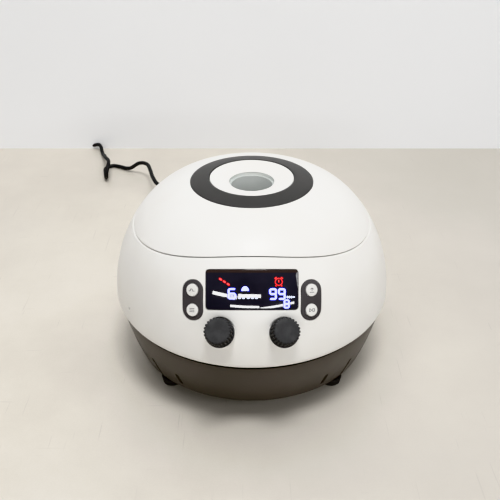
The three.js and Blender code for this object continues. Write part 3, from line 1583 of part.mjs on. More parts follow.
function consolePieces() {
  const group = new THREE.Group();
  addTo(group, 'display_window', displayWindow(), 'blackGlass');
  addTo(group, 'display_module', displayModule(), 'board');
  addTo(group, 'control_board', controlBoard(), 'board');
  ['left', 'right'].forEach((side, at) => {
    addTo(group, `button_pad_${side}`, pad(padFrames[at]), 'pad');
    addTo(group, `button_board_${side}`, buttonBoard(padFrames[at]), 'board');
    ['upper', 'lower'].forEach((row, place) => {
      const cap = button().translate(0, buttonPlaces[place], 0);
      addTo(group, `button_${side}_${row}`, placed(cap, padFrames[at]), 'buttonWhite');
    });
    addTo(group, `encoder_${side}`, placed(encoder(), knobFrames[at]), 'steel');
    addTo(group, `encoder_shaft_${side}`, placed(encoderShaft(), knobFrames[at]), 'steel');
    addTo(group, `knob_${side}`, placed(knob(), knobFrames[at]), 'knobRubber');
  });
  return group;
}

function supply() {
  const group = new THREE.Group();
  addTo(group, 'lead_plug', leadPlug(), 'blackPlastic');
  addTo(group, 'lead', tube(leadCurve(), leadSteps, leadSides), 'leadBlack');
  addTo(group, 'lead_coil', leadCoil(), 'leadBlack');
  addTo(group, 'lead_tail', leadTail(), 'leadBlack');
  addTo(group, 'adapter', adapter(), 'blackPlastic');
  return group;
}

root.add(housing(), drive(), lid(), hingeAndLatch(), consolePieces(), supply());

export default root;
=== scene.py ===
"""Looks of a high-speed microcentrifuge with a hinged dome lid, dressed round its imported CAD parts.

Sizes are in millimetres in the CAD frame (+Z up, the console faces -Y) until they go into a
mesh, which is in metres. Every new shape is a grid of points worked out from a formula.
"""

import math

import bmesh
import bpy
import numpy as np
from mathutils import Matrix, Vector


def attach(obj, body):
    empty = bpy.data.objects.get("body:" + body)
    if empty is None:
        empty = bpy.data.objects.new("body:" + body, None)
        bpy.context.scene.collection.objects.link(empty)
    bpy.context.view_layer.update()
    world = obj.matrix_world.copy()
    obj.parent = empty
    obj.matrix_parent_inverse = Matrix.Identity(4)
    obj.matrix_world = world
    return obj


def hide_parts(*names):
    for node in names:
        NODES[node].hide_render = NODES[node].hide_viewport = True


MM = 0.001
TURN = 2 * math.pi
QUARTER = math.pi / 2
SHARP_EDGE = 30.0
WELD_REACH = 1e-6
SLIVER = 1e-7
AXIS_RADIUS = 1e-4
SQUARE_CORNER = 1e-3
SLOPE_STEP = 0.02
# What counts as lying on the dome: distance, height above the widest section, cosine to its normal
ON_DOME = 0.03
ABOVE_WIDEST = 0.5
SAME_WAY = 0.985

# Housing: two half ellipses in plan under a superelliptic dome
BODY_HALF_WIDTH = 113.5
BODY_FRONT_DEPTH = 117.3
BODY_REAR_DEPTH = 129.4
WIDEST_HEIGHT = 65.1
DOME_RISE = 95.1
DOME_HEIGHT_POWER = 1.837
DOME_PLAN_POWER = 3.018
SHELL_WALL = 3.0
SHELL_FOOT_HEIGHT = 60.3
SHELL_HEM = 3.5
SEAM_HEIGHT = 123.0
SEAM_FRONT_RISE = 13.6
SEAM_POWER = 3.0
SEAM_GAP = 1.0
DECK_HEIGHT = 113.0
DECK_WALL = 3.0
MOUTH_RADIUS = 75.2
MOUTH_EDGE = 0.6
STRIKER_SLOT = ((-8, -82.96, 108), (8, -78.2, 115))
RELEASE_ANGLE = math.radians(-57)
RELEASE_HEIGHT = 76.0
RELEASE_RADIUS = 1.4

# Soft edges at the seam: where the round starts below it, a middle point as (drop, inset), its end
EDGE_START = 0.35
EDGE_MIDDLE = (0.1, 0.12)
EDGE_END = 0.4

# Gaps, and how far cutters reach above and below a surface
FIT_GAP = 0.35
SEAT_GAP = 0.3
CUT_ABOVE = 2.0
CUT_REACH = 12.0

# Lower bowl
BOWL_TOP = 58.1
BOWL_BOTTOM = 6.8
BOWL_BOTTOM_HALF_WIDTH = 97.5
BOWL_BOTTOM_FRONT = 91.5
BOWL_BOTTOM_REAR = 106.0
BOWL_TAPER_POWER = 1.35
BOWL_WALL = 2.6
BOWL_FLOOR = 3.0
BOWL_FLOOR_CORNER = 1.2
BOWL_EDGE = 2.4
BOWL_LEDGE = 30.0
BOWL_HEIGHTS = np.linspace(BOWL_TOP, BOWL_BOTTOM + BOWL_EDGE, 26)
LIP_HEIGHT = 1.6
LIP_DEPTH = 1.6
VENT_WIDTH = 3.4
VENT_REACH = 10.4
# Vents of one side: degrees from the front, middle height and length
VENTS = ((34, 22.2, 13.4), (48.5, 20.6, 21), (62, 24.8, 29), (77.5, 20.6, 21), (93, 22.2, 13.4))
# Rear bay: left, right, panel, low and high
BAY = (-33.0, 33.0, 99.0, 19.0, 46.0)
BAY_RIM = 2.4
BAY_CORNER = 2.5
BAY_MIDDLE = 32.5
BAY_FACE = 99.3
BAY_REACH = 40.0
JACK_X = -17.0
JACK_HOLE_RADIUS = 5.9
JACK_HOLE_ENDS = (60, 110)
ROCKER_X = 14.0
ROCKER_HOLE = (8.5, 11.5)
ROCKER_HOLE_ENDS = (60, 120)

# Feet: places in plan, and the turned profile round the screw hole
FOOT_PLACES = {
    "front_left": (-65.5, -58.0), "front_right": (65.5, -58.0),
    "rear_left": (-65.5, 66.0), "rear_right": (65.5, 66.0),
}
SCREW_HOLE = 2.25
FOOT_PROFILE = (
    (SCREW_HOLE, 3.0), (4.6, 3.0), (4.6, 0.4), (5.0, 0.0), (7.4, 0.0), (8.0, 0.6), (8.9, 5.9), (8.4, 6.5),
    (SCREW_HOLE, 6.5),
)

# Lid
RING_OUTER = 48.6
RING_INNER = 33.7
RING_SHARE = RING_OUTER / BODY_HALF_WIDTH
LID_WALL = 3.0
LEDGE_DROP = 1.8
LID_HOLE_RADIUS = 30.4
DISH_RADIUS = 33.3
DISH_LIP = 0.2
DISH_FALL = 3.6
NECK_RADIUS = 18.2
NECK_OUTER = 19.8
DISH_UNDERSIDE = 30.1
GLASS_RADIUS = 17.9
GLASS_SEAT_RADIUS = 16.4
GLASS_DROP = 4.2
GLASS_THICKNESS = 2.5
LINER_BOTTOM = 118.4
LINER_WALL = 2.2
LINER_GAP = 1.5
LINER_HOLE_RADIUS = 16.0
LINER_EDGE = 0.8
LINER_HOLE_EDGE = 0.5

# Rotor and chamber: turned profiles, with the roundings of their inner corners
ROTOR_BASE = 58.0
ROTOR_PROFILE = (
    (4.3, 0), (17, 0), (20, 3), (60, 3), (69, 7), (69, 19), (49, 42), (44.5, 43.5), (21.5, 20.5), (4.3, 20.5),
)
ROTOR_ROUNDS = (0.6, 0, 1.5, 1.2, 1.5, 2.0, 1.2, 1.0)
POCKETS = 12
POCKET_RADIUS = 5.6
POCKET_CIRCLE = 34.5
POCKET_DEPTH = 36.5
POCKET_MOUTH_HEIGHT = 91.5
POCKET_TILT = math.radians(45)
POCKET_PROFILE = (
    (0.0, -POCKET_DEPTH), (2.2, 0.8 - POCKET_DEPTH), (POCKET_RADIUS, 3.5 - POCKET_DEPTH), (POCKET_RADIUS, -0.5),
    (POCKET_RADIUS + 0.5, 0.0), (POCKET_RADIUS + 0.5, 43.5), (0.0, 43.5),
)
# Nut: radius, height and depth of the finger dips
NUT_DIPS = 12
NUT_PROFILE = (
    (11.5, 78.8, 0.8), (11.5, 89.6, 0.8), (11.2, 90.6, 0.7),
    (10.4, 91.3, 0.4), (9.4, 91.5, 0.1), (4.0, 91.5, 0.0),
)
# Chamber: middle, rounding and height of the floor corner, inside and outside, and the turned rim
CHAMBER_HUB = 16.0
CHAMBER_INSIDE = (70.0, 8.0, 51.5)
CHAMBER_OUTSIDE = (71.5, 9.5, 50.0)
CHAMBER_RIM = ((72.85, 114.2), (73.3, 114.8), (77.2, 114.8), (77.2, 113.3), (74.5, 113.3))
SEAL_PROFILE = (
    (75.4, 115.1), (73.75, 115.1), (73.75, 116.6), (74.6, 118.1), (76.3, 118.1), (77.15, 115.1), (75.5, 115.1),
)
SEAL_ROUNDS = (0.1, 0.4, 0.5, 0.5, 0.1)

# Console: sizes as width, height and corner; heights along a surface's own normal
SIDES = {"left": -1, "right": 1}
WINDOW_SIZE = (65.2, 28.4, 2.2)
WINDOW_LIP = 1.6
WINDOW_HEIGHT = 119.18
WINDOW_SEAT = -2.3
WINDOW_BACK = -2.0
PAD_X = 42.2
PAD_HEIGHT = 108.19
PAD_SIZE = (15.8, 28.9, 7.55)
PAD_STAND = 0.25
PAD_BACK = -1.35
PAD_SEAT = -1.65
BUTTON_RISES = {"upper": 7.1, "lower": -7.1}
BUTTON_RADIUS = 4.45
BUTTON_TOP = 0.9
BUTTON_PROFILE = (
    (0.0, -5.1), (2.4, -5.1), (2.4, -0.7),
    (BUTTON_RADIUS, -0.7), (BUTTON_RADIUS, BUTTON_TOP), (0.0, BUTTON_TOP),
)
BUTTON_ROUNDS = (0.2, 0.2, 0.15, 0.5)
STEM_HOLE_RADIUS = 2.75
KNOB_X = 22.3
KNOB_HEIGHT_ON_BODY = 88.89
KNOB_TILT = math.radians(44)
KNOB_SPLAY = math.radians(6)
KNOB_BORE_RADIUS = 4.25
KNOB_RECESS_RADIUS = 11.4
COLLAR_RADIUS = 9.6
COLLAR_FOOT = -5.2
SEAT_LIFT = 2.6
# Knob: radius, lift and depth of the valleys between its ridges
KNOB_RIDGES = 24
KNOB_VALLEY_POWER = 0.7
KNOB_VALLEY_SHARE = 1.15
KNOB_PROFILE = (
    (9.9, 0.0, 0.0), (10.4, 0.0, 0.0), (10.6, 0.25, 0.0), (10.6, 1.5, 0.0), (10.4, 1.8, 0.0), (10.0, 1.95, 0.6),
    (9.9, 2.2, 1.0), (9.9, 10.9, 1.0), (9.8, 11.6, 1.0), (9.5, 12.2, 0.9), (9.05, 12.6, 0.5), (8.5, 12.8, 0.15),
    (7.6, 12.9, 0.0), (5.0, 12.97, 0.0), (2.5, 13.0, 0.0), (0.3, 13.0, 0.0),
)

# Display: figures as value, left, top, width, height and stroke; bars as x, y, length, width, degrees
DISPLAY_BAND = 11.7
SIGN_LIFT = 0.03
SIGN_DEPTH = 0.06
HALO_GROW = 0.55
FIGURE_BARS = {"6": "acdefg", "8": "abcdefg", "9": "abcdfg"}
FIGURES = (
    ("6", -16.8, 0.9, 5.6, 7.5, 1.05), ("9", 12.1, 0.8, 5.2, 7.9, 1.1), ("9", 18.3, 0.8, 5.2, 7.9, 1.1),
    ("8", 22.4, -7.1, 4.0, 6.0, 0.85),
)
UNIT_BARS = (
    (24.9, -5.3, 1.5, 0.9, 90), (26.3, -5.3, 1.5, 0.9, 90), (27.7, -5.3, 1.5, 0.9, 90),
    (29.3, -5.3, 1.5, 0.9, 0), (-8.6, -5.9, 1.6, 1.0, 0), (-5.9, -5.9, 1.6, 1.0, 0),
    (-2.6, -5.9, 1.6, 1.0, 0), (0.3, -5.9, 1.6, 1.0, 0), (3.1, -5.9, 1.6, 1.0, 0),
)
ROTOR_BARS = ((-22.0, 7.2, 2.5, 1.4, -33), (-19.3, 5.5, 2.5, 1.4, -33), (-16.6, 3.7, 2.5, 1.4, -33))
CLOCK_BARS = (
    (16.6, 8.1, 1.9, 0.9, 35), (21.0, 8.1, 1.9, 0.9, -35), (16.8, 2.6, 1.2, 0.7, -60),
    (20.8, 2.6, 1.2, 0.7, 60), (18.8, 5.9, 2.0, 0.7, 90),
)
CLOCK_FACE = ((18.8, 5.4), 2.45, 0.7)
CLOCK_STROKES = 12
LID_SIGN = ((-4.8, -0.8), (2.5, 3.0))
# Marks on the caps: pulse steps, list, open lid and run or stop
MARK_HEIGHTS = (BUTTON_TOP - 0.05, BUTTON_TOP + 0.015)
MARK_WIDTH = 0.42
KEY_MARKS = {
    ("left", "upper"): ((-1.9, -0.6, 1.4, 0), (-1.2, 0.1, 1.6, 90), (-0.4, 0.8, 1.6, 0), (0.4, 0.1, 1.6, 90),
                        (1.3, -0.6, 1.8, 0)),
    ("left", "lower"): ((0.0, 1.1, 4.2, 0), (0.0, 0.0, 4.2, 0), (0.0, -1.1, 4.2, 0)),
    ("right", "upper"): ((0.0, -1.5, 3.8, 0), (0.0, 0.5, 2.4, 90), (-0.6, 1.1, 1.6, 45), (0.6, 1.1, 1.6, -45)),
    ("right", "lower"): ((-1.9, 0.0, 2.4, 90), (-1.0, 0.6, 2.1, -32), (-1.0, -0.6, 2.1, 32), (1.3, 0.9, 1.8, 0),
                         (1.3, -0.9, 1.8, 0), (0.5, 0.0, 1.8, 90), (2.1, 0.0, 1.8, 90)),
}

# Plug: body, five ribs of the strain relief as (first lift, step, radius, taper), and its end
PLUG_BODY = (
    (0.0, -9.0), (2.7, -9.0), (2.7, 0.0), (4.6, 0.0), (5.4, 0.8), (5.4, 19.6), (5.0, 20.8), (4.2, 21.2),
)
PLUG_STAND = 1.5
PLUG_RIBS = 5
PLUG_RIB = (21.6, 2.2, 4.1, 0.17)
PLUG_RIB_WIDTH = 1.3
PLUG_GROOVE = ((2.75, 1.45), (2.75, 2.05))
PLUG_END = ((3.3, 32.6), (3.3, 32.9), (2.5, 33.0), (0.0, 33.0))

# Supply lead: its laid stretch, coil and tail
LEAD_DIAMETER = 4.8
LEAD_SIDES = 20
LEAD_SPACING = 2.5
LEAD_START = (-17.0, 134.1, 32.5)
LEAD_ROUTE = (
    (-17, 156, 32), (-20, 174, 31), (-30, 196, 29), (-48, 219, 26), (-70, 240, 23), (-93, 259, 21),
    (-113.5, 278, 20), (-122.5, 299, 20), (-128.3, 320.6, 20), (-133.9, 337.7, 20), (-140.5, 345.5, 19),
    (-147.5, 350.8, 16), (-154.5, 355.7, 10), (-160.3, 359.9, 5.2), (-167, 364.7, 3), (-175, 369.6, 2.7),
    (-185.2, 373.3, 2.7), (-191.8, 369.3, 2.7), (-194.2, 362.2, 2.7), (-192, 350, 2.7), (-189, 336.3, 3),
    (-187, 329.5, 5.8), (-185.6, 326.6, 12.3), (-184.4, 329.2, 18.9), (-184, 336, 21.9), (-186, 347, 21.8),
    (-190.5, 358, 20), (-195, 372, 16), (-199, 388, 11), (-203.5, 403, 5.5), (-206.8, 414, 3),
    (-209.2, 421, 4), (-211, 427, 6.8), (-214.5, 432.8, 8.3), (-219.5, 437.5, 6.6), (-225.5, 442.5, 3.6),
    (-235, 449, 2.7), (-255, 463, 2.7), (-276, 483, 2.7), (-289, 507, 2.7),
)
COIL_CENTER = (-236.0, 530.0)
COIL_RADIUS = 52.0
COIL_PITCH = 6.6
COIL_LOOPS = 1.25
COIL_LIFT = 5.8
COIL_REST = 2.7
COIL_POINTS = 96
TAIL_ROUTE = ((-290, 556, 7.5), (-281, 582, 8), (-264, 602, 11), (-243, 612, 14.5))
TAIL_END = (-220.0, 613.6, 16.0)

# Moulded grain of the plastics, in grains to the metre
FINE_GRAIN = 1000 / 0.35
COARSE_GRAIN = FINE_GRAIN / 14

# Camera, in metres
EYE = (-0.00137, -0.5197, 0.3987)
EYE_FALL = 0.534
SENSOR_WIDTH = 36.0
LENS = 51.84

# Stage and light, in metres and watts: lamps as name, place, target, size and power
STAGE_HALF_WIDTH = 3.0
STAGE_FLOOR = -0.0002
WALL_DISTANCE = 0.44
WALL_HEIGHT = 2.4
ROOM_LIGHT = 0.05
ROOM_SHADE = (0.95, 0.97, 1.0, 1.0)
LAMPS = (
    ("ceiling_lamp", (0.1, -0.58, 2.2), (0, 0, 0), (0.6, 0.4), 28),
    ("side_lamp", (2.4, -1.3, 1.5), (0, 0, 0.1), (1.2, 0.8), 13),
    ("ceiling", (0.3, -0.2, 2.6), (0.3, -0.2, 0), (3.4, 1.3), 22),
)
# Panels as left end, right end and distance, with watts for each metre of width
PANELS = ((-3.4, -1.2, -5.3), (-1.1, 0.75, -5.3), (-2.8, 1.0, -9.0), (1.1, 6.0, -9.2))
PANEL_HEIGHT = 2.6
PANEL_DEPTH = 0.32
PANEL_POWER = 16

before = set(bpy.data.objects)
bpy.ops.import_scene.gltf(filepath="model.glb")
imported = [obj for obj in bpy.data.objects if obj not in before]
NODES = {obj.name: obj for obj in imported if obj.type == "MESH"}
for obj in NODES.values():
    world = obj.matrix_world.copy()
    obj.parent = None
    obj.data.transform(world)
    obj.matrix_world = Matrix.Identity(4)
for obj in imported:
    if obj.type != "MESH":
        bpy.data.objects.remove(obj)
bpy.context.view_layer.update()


# Grids of points into meshes


def skin(name, points, ring=False, sharp=SHARP_EDGE):
    """A closed surface through a grid of points, rows by columns by three, in millimetres.

    Columns join into rings. The first and last rows close at their middle points, or meet each
    other where ring is set.
    """
    points = np.asarray(points, float)
    rows, columns = points.shape[:2]
    index = np.arange(rows * columns).reshape(rows, columns)
    below = index if ring else index[:-1]
    above = np.roll(index, -1, 0) if ring else index[1:]
    quads = np.stack([below, np.roll(below, -1, 1), np.roll(above, -1, 1), above], -1).reshape(-1, 4)
    places = points.reshape(-1, 3)
    if ring:
        return mesh_object(name, places, quads, np.zeros((0, 3), int), sharp)
    first, last = index[0], index[-1]
    middle = np.full(columns, len(places))
    fans = np.vstack([
        np.stack([np.roll(first, -1), first, middle], -1), np.stack([last, np.roll(last, -1), middle + 1], -1),
    ])
    return mesh_object(name, np.vstack([places, points[0].mean(0), points[-1].mean(0)]), quads, fans, sharp)


def mesh_object(name, places, quads, triangles, sharp=SHARP_EDGE):
    """Puts points (mm) and faces into a mesh object (m), merges its doubles and turns it outwards.

    The sign of the enclosed volume, the sum of a . (b x c) over its triangles, says which way
    the faces point.
    """
    corners = np.vstack([quads[:, [0, 1, 2]], quads[:, [0, 2, 3]], triangles])
    a, b, c = (places[corners[:, k]] for k in range(3))
    if np.einsum("ij,ij->i", a, np.cross(b, c)).sum() < 0:
        quads, triangles = quads[:, ::-1], triangles[:, ::-1]
    mesh = bpy.data.meshes.new(name)
    mesh.vertices.add(len(places))
    mesh.vertices.foreach_set("co", (places * MM).astype(np.float32).ravel())
    loops = np.concatenate([quads.ravel(), triangles.ravel()]).astype(np.int32)
    totals = np.repeat([4, 3], [len(quads), len(triangles)])
    mesh.loops.add(len(loops))
    mesh.loops.foreach_set("vertex_index", loops)
    mesh.polygons.add(len(totals))
    mesh.polygons.foreach_set("loop_start", (np.cumsum(totals) - totals).astype(np.int32))
    mesh.update(calc_edges=True)
    mesh.validate()
    piece = bpy.data.objects.new(name, mesh)
    bpy.context.scene.collection.objects.link(piece)
    weld(piece)
    smooth(piece, sharp)
    return piece


def weld(piece):
    """Merges doubled points, as at poles and where rings meet."""
    work = bmesh.new()
    work.from_mesh(piece.data)
    bmesh.ops.remove_doubles(work, verts=work.verts, dist=WELD_REACH)
    bmesh.ops.dissolve_degenerate(work, edges=work.edges, dist=SLIVER)
    work.to_mesh(piece.data)
    work.free()


def smooth(piece, sharp=SHARP_EDGE):
    """Smooth shading with edges kept sharp above an angle in degrees."""
    piece.data.shade_smooth()
    piece.data.set_sharp_from_angle(angle=math.radians(sharp))


def carve(piece, cutters, operation="DIFFERENCE"):
    """Cuts, joins or intersects a piece with others, which are used up."""
    for cutter in cutters:
        step = piece.modifiers.new("carve", "BOOLEAN")
        step.operation = operation
        step.solver = "MANIFOLD"
        step.object = cutter
    graph = bpy.context.evaluated_depsgraph_get()
    result = bpy.data.meshes.new_from_object(piece.evaluated_get(graph))
    piece.modifiers.clear()
    piece.data = result
    for cutter in cutters:
        bpy.data.objects.remove(cutter)
    smooth(piece)


def around(columns):
    """Angles of the columns of a ring, from the front towards +X."""
    return np.arange(columns) / columns * TURN


def circle(angle, radius, height):
    """x = r sin a, y = -r cos a, z = h, for one ring or for a column of them."""
    return np.stack([radius * np.sin(angle), -radius * np.cos(angle), height + 0 * angle], -1)


def revolve(name, profile, columns=128, frame_of=None, ring=False, sharp=SHARP_EDGE):
    """Turns a profile of (radius, height) pairs about Z; a point on the axis becomes a tiny ring."""
    profile = np.asarray(profile, float)
    radius, height = np.maximum(profile[:, :1], AXIS_RADIUS), profile[:, 1:]
    return skin(name, placed(circle(around(columns), radius, height), frame_of), ring=ring, sharp=sharp)


def placed(points, frame_of):
    """Carries points from a frame (origin, x, y, z axes) into the CAD frame."""
    if frame_of is None:
        return points
    origin, x, y, z = frame_of
    return origin + points[..., :1] * x + points[..., 1:2] * y + points[..., 2:] * z


def axis_frame(origin, direction):
    """A frame at a point whose z runs along a direction and whose x is level."""
    z = np.asarray(direction, float) / np.linalg.norm(direction)
    x = np.cross([0, 0, 1], z)
    x = x / np.linalg.norm(x)
    return np.asarray(origin, float), x, np.cross(z, x), z


def upright_frame(origin, direction):
    """A frame at a point whose z runs along a direction and whose y leans to neither side."""
    z = np.asarray(direction, float) / np.linalg.norm(direction)
    y = np.array([0, z[2], -z[1]]) / math.hypot(z[1], z[2])
    x = np.cross(y, z)
    return np.asarray(origin, float), x / np.linalg.norm(x), y, z


def fillet(start, corner, end, radius, count):
    """A quarter round as a quadratic curve: (1 - t)^2 a + 2 t (1 - t) corner + t^2 b."""
    a = corner + (start - corner) / np.linalg.norm(start - corner) * radius
    b = corner + (end - corner) / np.linalg.norm(end - corner) * radius
    t = np.linspace(0, 1, count)[:, None]
    return (1 - t) ** 2 * a + 2 * t * (1 - t) * corner + t ** 2 * b


def rounded_profile(points, radii, count=5):
    """A profile whose inner corners are rounded by the radii that go with them."""
    points = np.asarray(points, float)
    inner = [
        fillet(*points[at:at + 3], radius, count) if radius else points[at + 1][None]
        for at, radius in enumerate(radii)
    ]
    return np.vstack([points[0], *inner, points[-1]])


def lifted(flat, height):
    """A flat outline as points at a height."""
    return np.concatenate([flat, np.full((len(flat), 1), height)], -1)


def prism(name, flat, low, high, frame_of=None):
    """An outline carried straight up between two heights of a frame."""
    return skin(name, placed(np.stack([lifted(flat, low), lifted(flat, high)]), frame_of))


def box_piece(name, low, high):
    """A box between two corners."""
    low, high = np.asarray(low, float), np.asarray(high, float)
    flat = outline(*(high - low)[:2], SQUARE_CORNER, 32) + (low + high)[:2] / 2
    return prism(name, flat, low[2], high[2])


def outline(width, height, corner, columns=96):
    """A rounded rectangle about the middle, as points evenly numbered along its sides and corners."""
    corner = min(corner, width / 2 - 1e-6, height / 2 - 1e-6)
    x, y = width / 2 - corner, height / 2 - corner
    share = np.array([2 * x, corner * QUARTER, 2 * y, corner * QUARTER] * 2)
    ends = np.concatenate([[0], np.cumsum(share)])
    at = np.arange(columns) / columns * ends[-1]
    part = np.clip(np.searchsorted(ends, at, "right") - 1, 0, 7)
    t = (at - ends[part]) / np.maximum(share[part], 1e-9)
    starts = np.array([
        [-x, -y - corner], [x, -y], [x + corner, -y], [x, y],
        [x, y + corner], [-x, y], [-x - corner, y], [-x, -y],
    ])
    runs = np.zeros((8, 2))
    runs[::2] = [[2 * x, 0], [0, 2 * y], [-2 * x, 0], [0, -2 * y]]
    turn = np.array([0, -QUARTER, 0, 0, 0, QUARTER, 0, math.pi])
    angle = turn[part] + t * QUARTER
    arc = starts[part] + corner * np.stack([np.cos(angle), np.sin(angle)], -1)
    line = starts[part] + runs[part] * t[:, None]
    return np.where((part % 2 == 1)[:, None], arc, line)


# The dome


def dome_share(height, inset=0.0):
    """Share of the widest section at a height: (1 - ((z - z0) / rise)^1.837)^(1 / 3.018)."""
    rise = np.maximum(0, (height - WIDEST_HEIGHT) / (DOME_RISE - inset))
    return np.maximum(0, 1 - rise ** DOME_HEIGHT_POWER) ** (1 / DOME_PLAN_POWER)


def dome_height(share, inset=0.0):
    """The height at a share of the widest section, the inverse of dome_share."""
    rise = (1 - share ** DOME_PLAN_POWER) ** (1 / DOME_HEIGHT_POWER)
    return WIDEST_HEIGHT + (DOME_RISE - inset) * rise


def stretch_of(share, front, inset=0.0):
    """How much deeper than wide the plan is: full at the widest section, none at the lid's ring."""
    half_width = BODY_HALF_WIDTH - inset
    depth = np.where(front, BODY_FRONT_DEPTH, BODY_REAR_DEPTH) - inset
    turn = np.clip((share - RING_SHARE) / (1 - RING_SHARE), 0, 1)
    return 1 + (depth / half_width - 1) * (1 - (1 - turn) ** 2)


def plan_point(angle, share, inset, height):
    """x = s w sin a, y = -s w k cos a, with the stretch k of stretch_of."""
    angle, share, inset, height = np.broadcast_arrays(angle, share, inset, height)
    half_width = BODY_HALF_WIDTH - inset
    stretch = stretch_of(share, np.cos(angle) > 0, inset)
    return np.stack([
        share * half_width * np.sin(angle), -share * half_width * stretch * np.cos(angle), height,
    ], -1)


def dome_point(angle, height, inset=0.0):
    """The dome's own point at an angle and a height."""
    return plan_point(angle, dome_share(height, inset), inset, height)


def dome_level(points):
    """How far outside the dome a point is, in shares of the widest section."""
    x, y, z = points[..., 0], points[..., 1], points[..., 2]
    share = dome_share(z)
    stretch = stretch_of(share, y < 0)
    return np.hypot(x, y / stretch) / BODY_HALF_WIDTH - share


def dome_slope(points):
    """Central differences of dome_level along the three axes."""
    slopes = []
    for axis in range(3):
        move = np.zeros(3)
        move[axis] = SLOPE_STEP
        slopes.append((dome_level(points + move) - dome_level(points - move)) / (2 * SLOPE_STEP))
    return np.stack(slopes, -1)


def dome_normal(points):
    """The dome's slope over the slope's length."""
    slope = dome_slope(points)
    return slope / np.linalg.norm(slope, axis=-1, keepdims=True)


def dome_distance(points):
    """Level over slope: close to the real distance near the surface, in millimetres."""
    return dome_level(points) / np.linalg.norm(dome_slope(points), axis=-1)


def on_dome(frame_of, flat, offset):
    """Drops points of a frame's plane along its z onto the dome, or a stand-off above it."""
    flat = np.asarray(flat, float)
    points = np.concatenate([flat, np.zeros(flat.shape[:-1] + (1,))], -1)
    lift = np.zeros(flat.shape[:-1])
    for _ in range(10):
        points[..., 2] = lift
        lift = lift - (dome_distance(placed(points, frame_of)) - offset)
    points[..., 2] = lift
    return placed(points, frame_of)


def front_point(x, height):
    """The point of the dome's front at a distance from the middle plane and a height."""
    share = dome_share(height)
    half_width = share * BODY_HALF_WIDTH
    depth = half_width * stretch_of(share, True)
    return np.array([x, -depth * math.sqrt(1 - (x / half_width) ** 2), height])


def seam_height(angle):
    """Level at the sides and rear, raised at the front by the cube of cos a."""
    return SEAM_HEIGHT + SEAM_FRONT_RISE * np.maximum(0, np.cos(angle)) ** SEAM_POWER


def slab(name, frame_of, size, top, bottom, rows, columns, edge=0.0, grow=0.0):
    """A plate that follows the dome: a rounded rectangle scaled from its middle outwards at one
    stand-off, a quarter round at its edge, and back underneath at another."""
    width, height, corner = size

    def ring(inset):
        step = grow - inset
        return outline(width + 2 * step, height + 2 * step, corner + step, columns)

    shares = np.linspace(0.02, 1, rows)
    loops = [(ring(edge) * share, top) for share in shares]
    if edge:
        for turn in np.linspace(0, QUARTER, 5)[1:]:
            loops.append((ring(edge * (1 - math.sin(turn))), top - edge * (1 - math.cos(turn))))
    loops += [(ring(0) * share, bottom) for share in shares[::-1]]
    return skin(name, [on_dome(frame_of, flat, offset) for flat, offset in loops])


def on_dome_front(x, height, make_frame):
    """A frame on the dome's front that looks along its normal."""
    middle = front_point(x, height)
    return make_frame(middle, dome_normal(middle))


def knob_frame(sign):
    """A knob's frame: it leans back by the tilt and outwards by the splay."""
    level = math.cos(KNOB_SPLAY)
    direction = (sign * math.sin(KNOB_SPLAY), -level * math.cos(KNOB_TILT), level * math.sin(KNOB_TILT))
    return axis_frame(front_point(sign * KNOB_X, KNOB_HEIGHT_ON_BODY), direction)


WINDOW_FRAME = on_dome_front(0, WINDOW_HEIGHT, axis_frame)
PAD_FRAMES = {side: on_dome_front(sign * PAD_X, PAD_HEIGHT, upright_frame) for side, sign in SIDES.items()}
KNOB_FRAMES = {side: knob_frame(sign) for side, sign in SIDES.items()}


# Shader arithmetic


class Signal:
    """A shader socket in arithmetic: an expression on signals adds its Math nodes."""

    def __init__(self, finish, socket):
        self.finish = finish
        self.socket = socket

    def _math(self, operation, first, second):
        return self.finish.node("ShaderNodeMath", {"operation": operation}, [first, second])

    def __add__(self, other):
        return self._math("ADD", self, other)

    def __radd__(self, other):
        return self._math("ADD", other, self)

    def __sub__(self, other):
        return self._math("SUBTRACT", self, other)

    def __rsub__(self, other):
        return self._math("SUBTRACT", other, self)

    def __mul__(self, other):
        return self._math("MULTIPLY", self, other)

    def __rmul__(self, other):
        return self._math("MULTIPLY", other, self)

    def __pow__(self, other):
        return self._math("POWER", self, other)

    def ramp(self, low, high):
        """0 at low and below, 1 at high and above, eased between."""
        return self.finish.node(
            "ShaderNodeMapRange", {"interpolation_type": "SMOOTHSTEP"},
            {"Value": self, "From Min": low, "From Max": high},
        )


